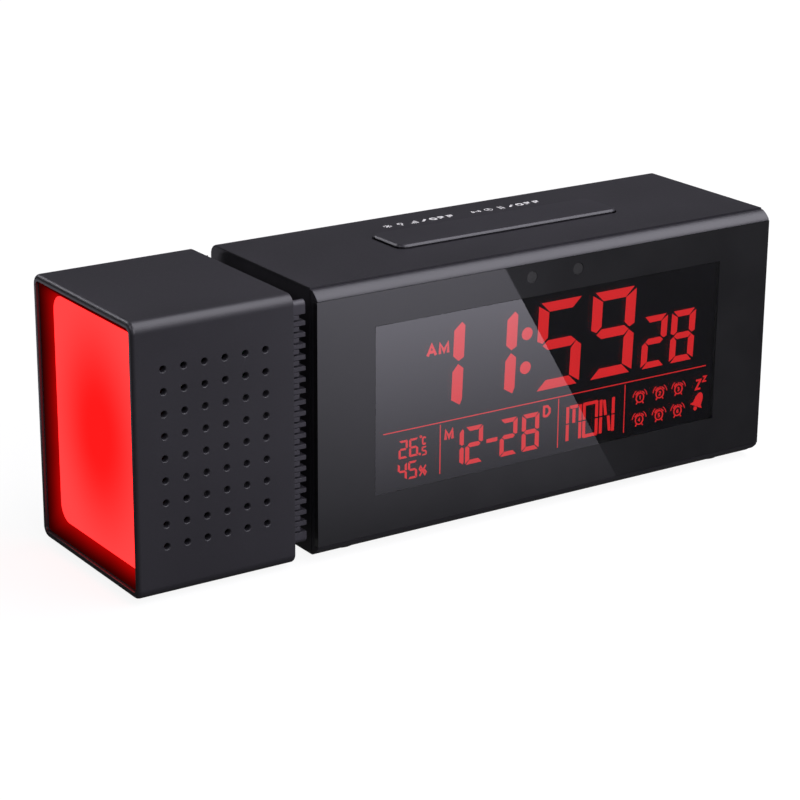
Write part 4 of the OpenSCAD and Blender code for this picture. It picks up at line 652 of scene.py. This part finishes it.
# ---- Letters and signs as strokes in a cell one wide and one high ----
SIGNS = {
    "A": [[(0, 0), (0.5, 1), (1, 0)], [(0.2, 0.34), (0.8, 0.34)]],
    "C": [[(1, 0.85), (0.75, 1), (0.25, 1), (0, 0.75), (0, 0.25), (0.25, 0), (0.75, 0), (1, 0.15)]],
    "D": [[(0, 0), (0, 1), (0.6, 1), (1, 0.7), (1, 0.3), (0.6, 0), (0, 0)]],
    "F": [[(0, 0), (0, 1), (1, 1)], [(0, 0.52), (0.8, 0.52)]],
    "M": [[(0, 0), (0, 1), (0.5, 0.2), (1, 1), (1, 0)]],
    "O": [[(0.25, 0), (0, 0.25), (0, 0.75), (0.25, 1), (0.75, 1), (1, 0.75), (1, 0.25), (0.75, 0),
           (0.25, 0)]],
    "Z": [[(0, 1), (1, 1), (0, 0), (1, 0)]],
    "%": [[(0.05, 0), (0.95, 1)], [(0, 0.7), (0.2, 0.95), (0.4, 0.7), (0.2, 0.5), (0, 0.7)],
          [(0.6, 0.3), (0.8, 0.5), (1, 0.3), (0.8, 0.05), (0.6, 0.3)]],
    "/": [[(0, 0), (1, 1)]],
    "1": [[(0.2, 0.8), (0.6, 1), (0.6, 0)]],
    "2": [[(0, 0.8), (0.3, 1), (0.75, 1), (1, 0.7), (0, 0), (1, 0)]],
    "3": [[(0, 0.9), (0.5, 1), (0.9, 0.75), (0.45, 0.53), (1, 0.25), (0.5, 0), (0, 0.1)]],
    "4": [[(0.75, 0), (0.75, 1), (0, 0.35), (1, 0.35)]],
    "5": [[(1, 1), (0.1, 1), (0.1, 0.55), (0.6, 0.6), (1, 0.3), (0.6, 0), (0, 0.05)]],
    "6": [[(0.8, 1), (0.2, 0.7), (0, 0.3), (0.4, 0), (0.9, 0.15), (0.9, 0.45), (0.5, 0.6),
           (0.05, 0.4)]],
}


def signs(text, left, low, width, height, line, pitch=0.0):
    """The strokes of each sign in a row of cells a pitch apart, the line's width in from every side
    of its cell."""
    parts = []
    for place, sign in enumerate(text):
        corner = (left + place * pitch + line / 2, low + line / 2)
        parts += [stroke(np.array(run, float) * (width - line, height - line) + corner, line)
                  for run in SIGNS[sign]]
    return parts


# ---- Pictograms, about their own middle ----
PEN, THIN_PEN = 0.3, 0.2


def bell():
    """A solid bell: dome with a flared mouth, and its clapper."""
    dome = [(-0.95, -0.7), (-0.62, -0.35), (-0.55, 0.35), (-0.35, 0.8), (-0.1, 1.0), (0.1, 1.0),
            (0.35, 0.8), (0.55, 0.35), (0.62, -0.35), (0.95, -0.7)]
    return [slab(dome), slab(circle(0, -0.98, 0.24))]


def sun():
    """A disc and eight rays."""
    ray = stroke([(0.6, 0), (1.0, 0)], 0.28)
    rays = [part for turn in range(0, 360, 45) for part in moved([ray], turn=turn)]
    return [slab(circle(0, 0, 0.42)), *rays]


def bulb():
    """A light bulb: globe, neck and two cap rings."""
    return [stroke(circle(0, 0.3, 0.55, -60, 300), PEN), stroke([(-0.3, -0.45), (0.3, -0.45)], PEN),
            stroke([(-0.22, -0.8), (0.22, -0.8)], PEN)]


def rising_bars():
    """Four bars, each higher than the last: the dimmer's steps."""
    return [slab(rectangle(left, -1.0, left + 0.3, high))
            for left, high in ((-1.0, -0.5), (-0.5, 0.0), (0.0, 0.5), (0.5, 1.0))]


def waves():
    """A dot with two arcs on each side: sound or a radio's signal."""
    arcs = [stroke(circle(0, 0, reach, start, 76), PEN)
            for reach in (0.6, 1.0) for start in (-38, 142)]
    return [slab(circle(0, 0, 0.22)), *arcs]


def pause():
    """Two upright bars."""
    return [slab(rectangle(left, -1.0, left + 0.35, 1.0)) for left in (-0.55, 0.2)]


def triangle():
    """A triangle that points up."""
    return [slab([(-1.0, -0.7), (1.0, -0.7), (0.0, 1.0)])]


def lens_sign():
    """A lamp's lens and the beam that leaves it."""
    beam = [stroke([(0.2, 0.2 * side), (1.1, 0.85 * side)], PEN) for side in (-1, 0, 1)]
    return [stroke(circle(-0.5, 0, 0.5), THIN_PEN, True), *beam]


def clock_sign():
    """A dial with two hands."""
    return [stroke(circle(0, 0, 0.9), THIN_PEN, True), stroke([(0, 0.6), (0, 0), (0.42, 0)], PEN)]


def ringing_clock(number):
    """A small alarm clock in millimetres: ring, number, two bells, feet and sound marks."""
    parts = [stroke(circle(0, 0, 1.15), 0.27, True), *signs(number, -0.36, -0.55, 0.72, 1.1, 0.2)]
    for side in (-1, 1):
        middle = 90 - 38 * side
        outer, inner = circle(0, 0, 1.72, middle - 20, 40), circle(0, 0, 1.46, middle + 20, -40)
        parts += [slab([*outer[::8], *inner[::8]]),
                  stroke([(0.75 * side, -1.0), (1.1 * side, -1.55)], 0.24),
                  stroke(circle(0, 0.1, 2.15, 90 - 82 * side, 48 * side)[::4], 0.15)]
    return parts + [stroke([(0, 1.3), (0, 1.75)], 0.22)]


# ---- The display, in millimetres from the window's lower left corner ----
# Rows of figures: the text, the left of each cell, then for all cells the foot, the width and the
# height, the upright and the level bars' width, the gap between bars and the cut of the corners
FOOT_LINE, LEAN = 16.2, 0.038              # of the time: each point leans by its height times that
TIME = ("1159", (11.3, 26.1, 44.9, 60.6), (FOOT_LINE, 12.8, 21.2, 2.9, 2.3, 0.17, 0.5))
SECONDS = ("28", (76.3, 85.0), (16.1, 7.3, 12.9, 1.75, 1.5, 0.15, 0.35))
DATE = ("1228", (20.0, 25.4, 35.2, 41.5), (2.0, 4.9, 9.1, 1.08, 1.0, 0.14, 0.15))
WARMTH = ("26", (7.0, 9.85), (7.0, 2.4, 4.3, 0.5, 0.46, 0.07, 0.08))
TENTHS = ("5", (13.3,), (6.7, 1.3, 2.1, 0.32, 0.3, 0.04, 0.04))
DAMPNESS = ("45", (6.8, 9.6), (1.7, 2.4, 4.2, 0.5, 0.46, 0.07, 0.08))

# Rows of signs: the text, left, foot, width and height of the cell, the line's width and the pitch
DISPLAY_SIGNS = (("C", 13.35, 9.2, 1.1, 2.0, 0.34), ("%", 12.5, 1.7, 2.2, 2.7, 0.3),
                 ("AM", 14.3, 29.8, 2.9, 3.15, 0.66, 3.35), ("M", 19.5, 8.9, 2.6, 3.0, 0.68),
                 ("D", 47.5, 9.35, 2.2, 2.9, 0.55), ("Z", 93.7, 7.7, 1.8, 2.7, 0.46),
                 ("Z", 95.8, 9.4, 1.4, 1.6, 0.36))
DAY = (("M", 54.4), ("O", 59.3), ("N", 64.3))
DAY_FOOT = 2.0
# Dots and rings: the middle and the radius
COLON = ((41.8, 30.81, 1.5), (41.8, 22.63, 1.5))
POINT = (12.75, 7.2, 0.3)
DEGREE, DEGREE_LINE = (13.0, 11.3, 0.24), 0.16
DASH = rectangle(31.4, 6.2, 34.4, 7.1)
RULES = ([(2.81, 13.63), (96.7, 13.47), (96.7, 13.66), (2.81, 13.82)],
         rectangle(18.26, 1.24, 18.44, 13.15), rectangle(51.92, 1.02, 52.08, 13.2),
         rectangle(71.74, 1.0, 71.9, 13.1))
ALARM_COLUMNS, ALARM_ROWS = (76.5, 82.6, 88.4), (9.0, 3.4)
BELL = (94.8, 4.9, 2.1, -24.0)             # middle, scale and turn


def display_figures():
    """Everything that the display shows. Time, seconds and colon lean: each point moves right by
    the lean times its height over the foot line."""
    colon = [slab(circle(*dot)) for dot in COLON]
    leaning = [(points + np.outer(points[:, 1] - FOOT_LINE, (LEAN, 0, 0)), faces)
               for points, faces in figure_row(*TIME) + figure_row(*SECONDS) + colon]
    alarms = [(u, v) for v in ALARM_ROWS for u in ALARM_COLUMNS]
    return [*leaning,
            *(part for row in (DATE, WARMTH, TENTHS, DAMPNESS) for part in figure_row(*row)),
            *(part for row in DISPLAY_SIGNS for part in signs(*row)),
            *(part for letter, left in DAY for part in day_letter(letter, left, DAY_FOOT)),
            *(slab(outline) for outline in (DASH, *RULES)),
            slab(circle(*POINT)), stroke(circle(*DEGREE), DEGREE_LINE, True),
            *(part for number, middle in zip("123456", alarms)
              for part in moved(ringing_clock(number), *middle)),
            *moved(bell(), *BELL)]


AIR = 0.005            # in front of the figures and behind them
DISPLAY_CORNER = (WINDOW_LOW.x / MM, SEGMENTS_HIGH.y / MM - AIR, WINDOW_LOW.z / MM)
FIGURES_THICK = (SEGMENTS_HIGH.y - SEGMENTS_LOW.y) / MM - 2 * AIR
figures = inlay("display_figures", display_figures(), DISPLAY_CORNER, (1, 0, 0), (0, 0, 1),
                FIGURES_THICK, "display_red")
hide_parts("lcd_segments")

# ---- Printed labels, in millimetres ----
ROOF, COVER = CASE_HIGH.z / MM, COVER_HIGH.y / MM
INK = 0.02             # the print's thickness
PICTURE = 1.1          # a pictogram's radius
KEY_RISE = 2.6         # how far above its key a pictogram stands
# Along a roof label: the first pictogram's middle, the next ones' pitch and the word's start
FIRST_PICTURE, PICTURE_PITCH, WORD_START = 1.2, 3.7, 10.6
LABEL_FOOT, LABEL_HEIGHT = 12.4, 2.0
LABEL_MIDDLE = LABEL_FOOT + LABEL_HEIGHT / 2


def roof_label(pictures, left):
    """A row of pictograms, a slash and OFF, about 20 mm long, from a point on the roof."""
    parts = [part for place, picture in enumerate(pictures)
             for part in moved(picture, left + FIRST_PICTURE + PICTURE_PITCH * place, LABEL_MIDDLE,
                               PICTURE)]
    return parts + signs("/OFF", left + WORD_START, LABEL_FOOT, 2.0, LABEL_HEIGHT, 0.58, 2.6)


roof_labels = [*roof_label((sun(), bulb(), rising_bars()), -0.6),
               *roof_label((waves(), clock_sign(), pause()), 24.9)]
inlay("roof_labels", roof_labels, (0, 0, ROOF), (1, 0, 0), (0, 1, 0), INK, "white_plastic")
key_labels = []
for node, picture in zip(KEYS, (clock_sign(), triangle(), moved(triangle(), turn=180.0),
                                moved(bell(), scale=1 / PICTURE), waves(), lens_sign())):
    low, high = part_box(node)
    key_labels += moved(picture, -(low.x + high.x) / 2 / MM, high.z / MM + KEY_RISE, PICTURE)
inlay("key_labels", key_labels, (0, COVER, 0), (-1, 0, 0), (0, 0, 1), INK, "white_plastic")

# ---- Stage ----
SHOWN_WHITE = 1.0      # what the camera and clear pieces see of the background
MIRRORED = 0.068       # what the black mouldings mirror of it: full white would turn them mid grey
MIRRORED_FLOOR = 0.06  # and of the floor
AMBIENT = 0.22         # what lights the object from all round
SHADE_SIDE = 0.05      # share of both that comes from the lamp's side, where the studio is dark
SHADE_X, OPEN_X = -0.8, 0.4            # the directions' X between which that shade clears
WHITE = (1, 1, 1, 1)
PAPER, PAPER_FIBRES = greys(0.13, 0.16), 400.0
LIT_PAPER = greys(0.11, 0.11)[0]       # the paper's answer to light, where the camera sees it
PAPER_GLOW = 0.9                       # what it glows there
FLOOR_REACH = 3000.0
FLOOR_Z = -0.02                        # just under the feet


def ways(tree):
    """Two flags: whether a ray sees the background straight or through clear pieces, and whether it
    comes off a glossy surface, now or earlier on its path."""
    path = wire(tree, "LightPath").outputs
    glossy = math_of(tree, "ADD", path["Is Glossy Ray"], path["Glossy Depth"])
    mirrored = math_of(tree, "MINIMUM", glossy, 1.0)
    straight = math_of(tree, "ADD", path["Is Camera Ray"], path["Is Transmission Ray"])
    return math_of(tree, "MULTIPLY", straight, math_of(tree, "SUBTRACT", 1.0, mirrored)), mirrored


def background_strength(tree):
    """White for camera and transmission rays. Glossy rays get the mirrored level and the others the
    ambient one, both falling off towards the lamp's side, which is -X."""
    seen, glossy = ways(tree)
    toward = axes_of(tree, wire(tree, "TexCoord").outputs["Generated"])["X"]
    fall = spread(tree, toward, SHADE_X, OPEN_X, SHADE_SIDE, 1.0)
    level = math_of(tree, "MULTIPLY_ADD", glossy, MIRRORED - AMBIENT, AMBIENT)
    unseen = math_of(tree, "MULTIPLY", math_of(tree, "MULTIPLY", level, fall),
                     math_of(tree, "SUBTRACT", 1.0, seen))
    return math_of(tree, "MULTIPLY_ADD", seen, SHOWN_WHITE, unseen)


world = bpy.data.worlds.new("studio")
scene.world = world
world.use_nodes = True
background = world.node_tree.nodes["Background"]
world.node_tree.links.new(background_strength(world.node_tree), background.inputs["Strength"])
background.inputs["Color"].default_value = WHITE


def stage_sheet(name, corners, height, material):
    """A flat sheet through the corners at a height, in millimetres, as part of the stage."""
    mesh = bpy.data.meshes.new(name)
    mesh.from_pydata([(x * MM, y * MM, height * MM) for x, y in corners], [], [range(len(corners))])
    mesh.materials.append(material)
    sheet = bpy.data.objects.new(name, mesh)
    scene.collection.objects.link(sheet)
    return sheet


def floor_paper():
    """White paper: it glows almost white to the camera and keeps a soft share of the real light,
    so the shadow stays. Other rays meet matt paper, or off a glossy surface the mirrored level."""
    material, tree, shader = new_material("floor_paper")
    tree.nodes.remove(shader)
    seen, glossy = ways(tree)
    fibre = noise_of(tree, object_place(tree), PAPER_FIBRES, 2.0)
    paper = wire(tree, "BsdfDiffuse", {0: mix_of(tree, fibre, *PAPER)})
    lit = wire(tree, "BsdfDiffuse", {0: LIT_PAPER})
    glow = wire(tree, "Emission", {"Color": WHITE, "Strength": PAPER_GLOW})
    shown = wire(tree, "AddShader", {0: lit.outputs[0], 1: glow.outputs[0]})
    mirrored = wire(tree, "Emission", {"Color": WHITE, "Strength": MIRRORED_FLOOR})
    unseen = wire(tree, "MixShader", {0: glossy, 1: paper.outputs[0], 2: mirrored.outputs[0]})
    whole = wire(tree, "MixShader", {0: seen, 1: unseen.outputs[0], 2: shown.outputs[0]})
    tree.links.new(whole.outputs[0], tree.nodes["Material Output"].inputs["Surface"])
    return material


stage_sheet("floor", rectangle(-FLOOR_REACH, -FLOOR_REACH, FLOOR_REACH, FLOOR_REACH), FLOOR_Z,
            floor_paper())

CARD_Z = 0.6
CARD_TINT = (1.0, 0.97, 1.12, 1)


def card_glow(name, near, far, near_y, far_y):
    """A reflector card's glow, which changes along Y from the near level to the far one."""
    material, tree, shader = new_material(name)
    tree.nodes.remove(shader)
    level = spread(tree, axes_of(tree, object_place(tree))["Y"], near_y * MM, far_y * MM, near, far)
    glow = wire(tree, "Emission", {"Color": CARD_TINT, "Strength": level})
    tree.links.new(glow.outputs[0], tree.nodes["Material Output"].inputs["Surface"])
    return material


def reflector_card(name, corners, levels, near_y, far_y):
    """A card just above the floor that only reflections see."""
    card = stage_sheet(name, corners, CARD_Z, card_glow(name, *levels, near_y, far_y))
    card.visible_camera = False
    card.visible_diffuse = False
    card.visible_transmission = False
    card.visible_shadow = False


def edge_x(y, at, slope):
    """The X of a card's slanted edge at that Y: a point of it and its slope."""
    return at[0] + slope * (y - at[1])


# The panel's glare mirrors the bright card, and ends where the dark one begins beside it
NEAR_Y, FAR_Y = -25.0, -236.0
LEFT_EDGE, GLARE_EDGE = ((-46.0, -28.3), -0.634), ((48.6, -31.2), -0.5234)
for name, left_edge, shift, levels in (("bright_card", LEFT_EDGE, 0.0, (0.09, 1.62)),
                                       ("dark_card", GLARE_EDGE, 200.0, (0.0, 0.05))):
    corners = [(edge_x(NEAR_Y, *left_edge), NEAR_Y), (edge_x(FAR_Y, *left_edge), FAR_Y),
               (edge_x(FAR_Y, *GLARE_EDGE) + shift, FAR_Y),
               (edge_x(NEAR_Y, *GLARE_EDGE) + shift, NEAR_Y)]
    reflector_card(name, corners, levels, NEAR_Y, FAR_Y)
reflector_card("rim_card", rectangle(-320, 60, -120, 260), (1.0, 1.0), 60.0, 260.0)
reflector_card("far_card", rectangle(180, 100, 420, 420), (0.9, 0.9), 100.0, 420.0)

LAMP_TINT = (0.98, 0.96, 1.06)


def soft_box(name, toward, distance, size, radiance, lights=True, shines=True):
    """A square lamp at that distance in a direction from the object, facing it. One that doesn't
    light only draws highlights, and one that doesn't shine draws none."""
    data = bpy.data.lights.new(name, "AREA")
    data.size = size
    data.energy = radiance * math.pi * size * size
    data.color = LAMP_TINT
    box = bpy.data.objects.new(name, data)
    scene.collection.objects.link(box)
    direction = np.array(toward) / np.linalg.norm(toward)
    box.location = direction * distance
    yaw, pitch = math.atan2(direction[X], -direction[Y]), math.acos(direction[Z])
    box.rotation_euler = (pitch, 0.0, yaw)
    box.visible_diffuse = lights
    box.visible_glossy = shines
    box.visible_transmission = False


soft_box("key_box", (0.51, -0.32, 0.80), 2.2, 2.2, 4.0)
soft_box("front_box", (-0.05, -0.90, 0.43), 1.8, 1.0, 5.6)
soft_box("rear_box", (0.25, 0.93, 0.25), 2.0, 1.4, 3.5, shines=False)
soft_box("left_edge_box", (-0.775, -0.10, 0.62), 1.2, 0.5, 4.0, lights=False)
soft_box("back_edge_box", (-0.33, 0.77, 0.54), 1.3, 0.5, 5.0, lights=False)

scene.view_settings.view_transform = "Standard"
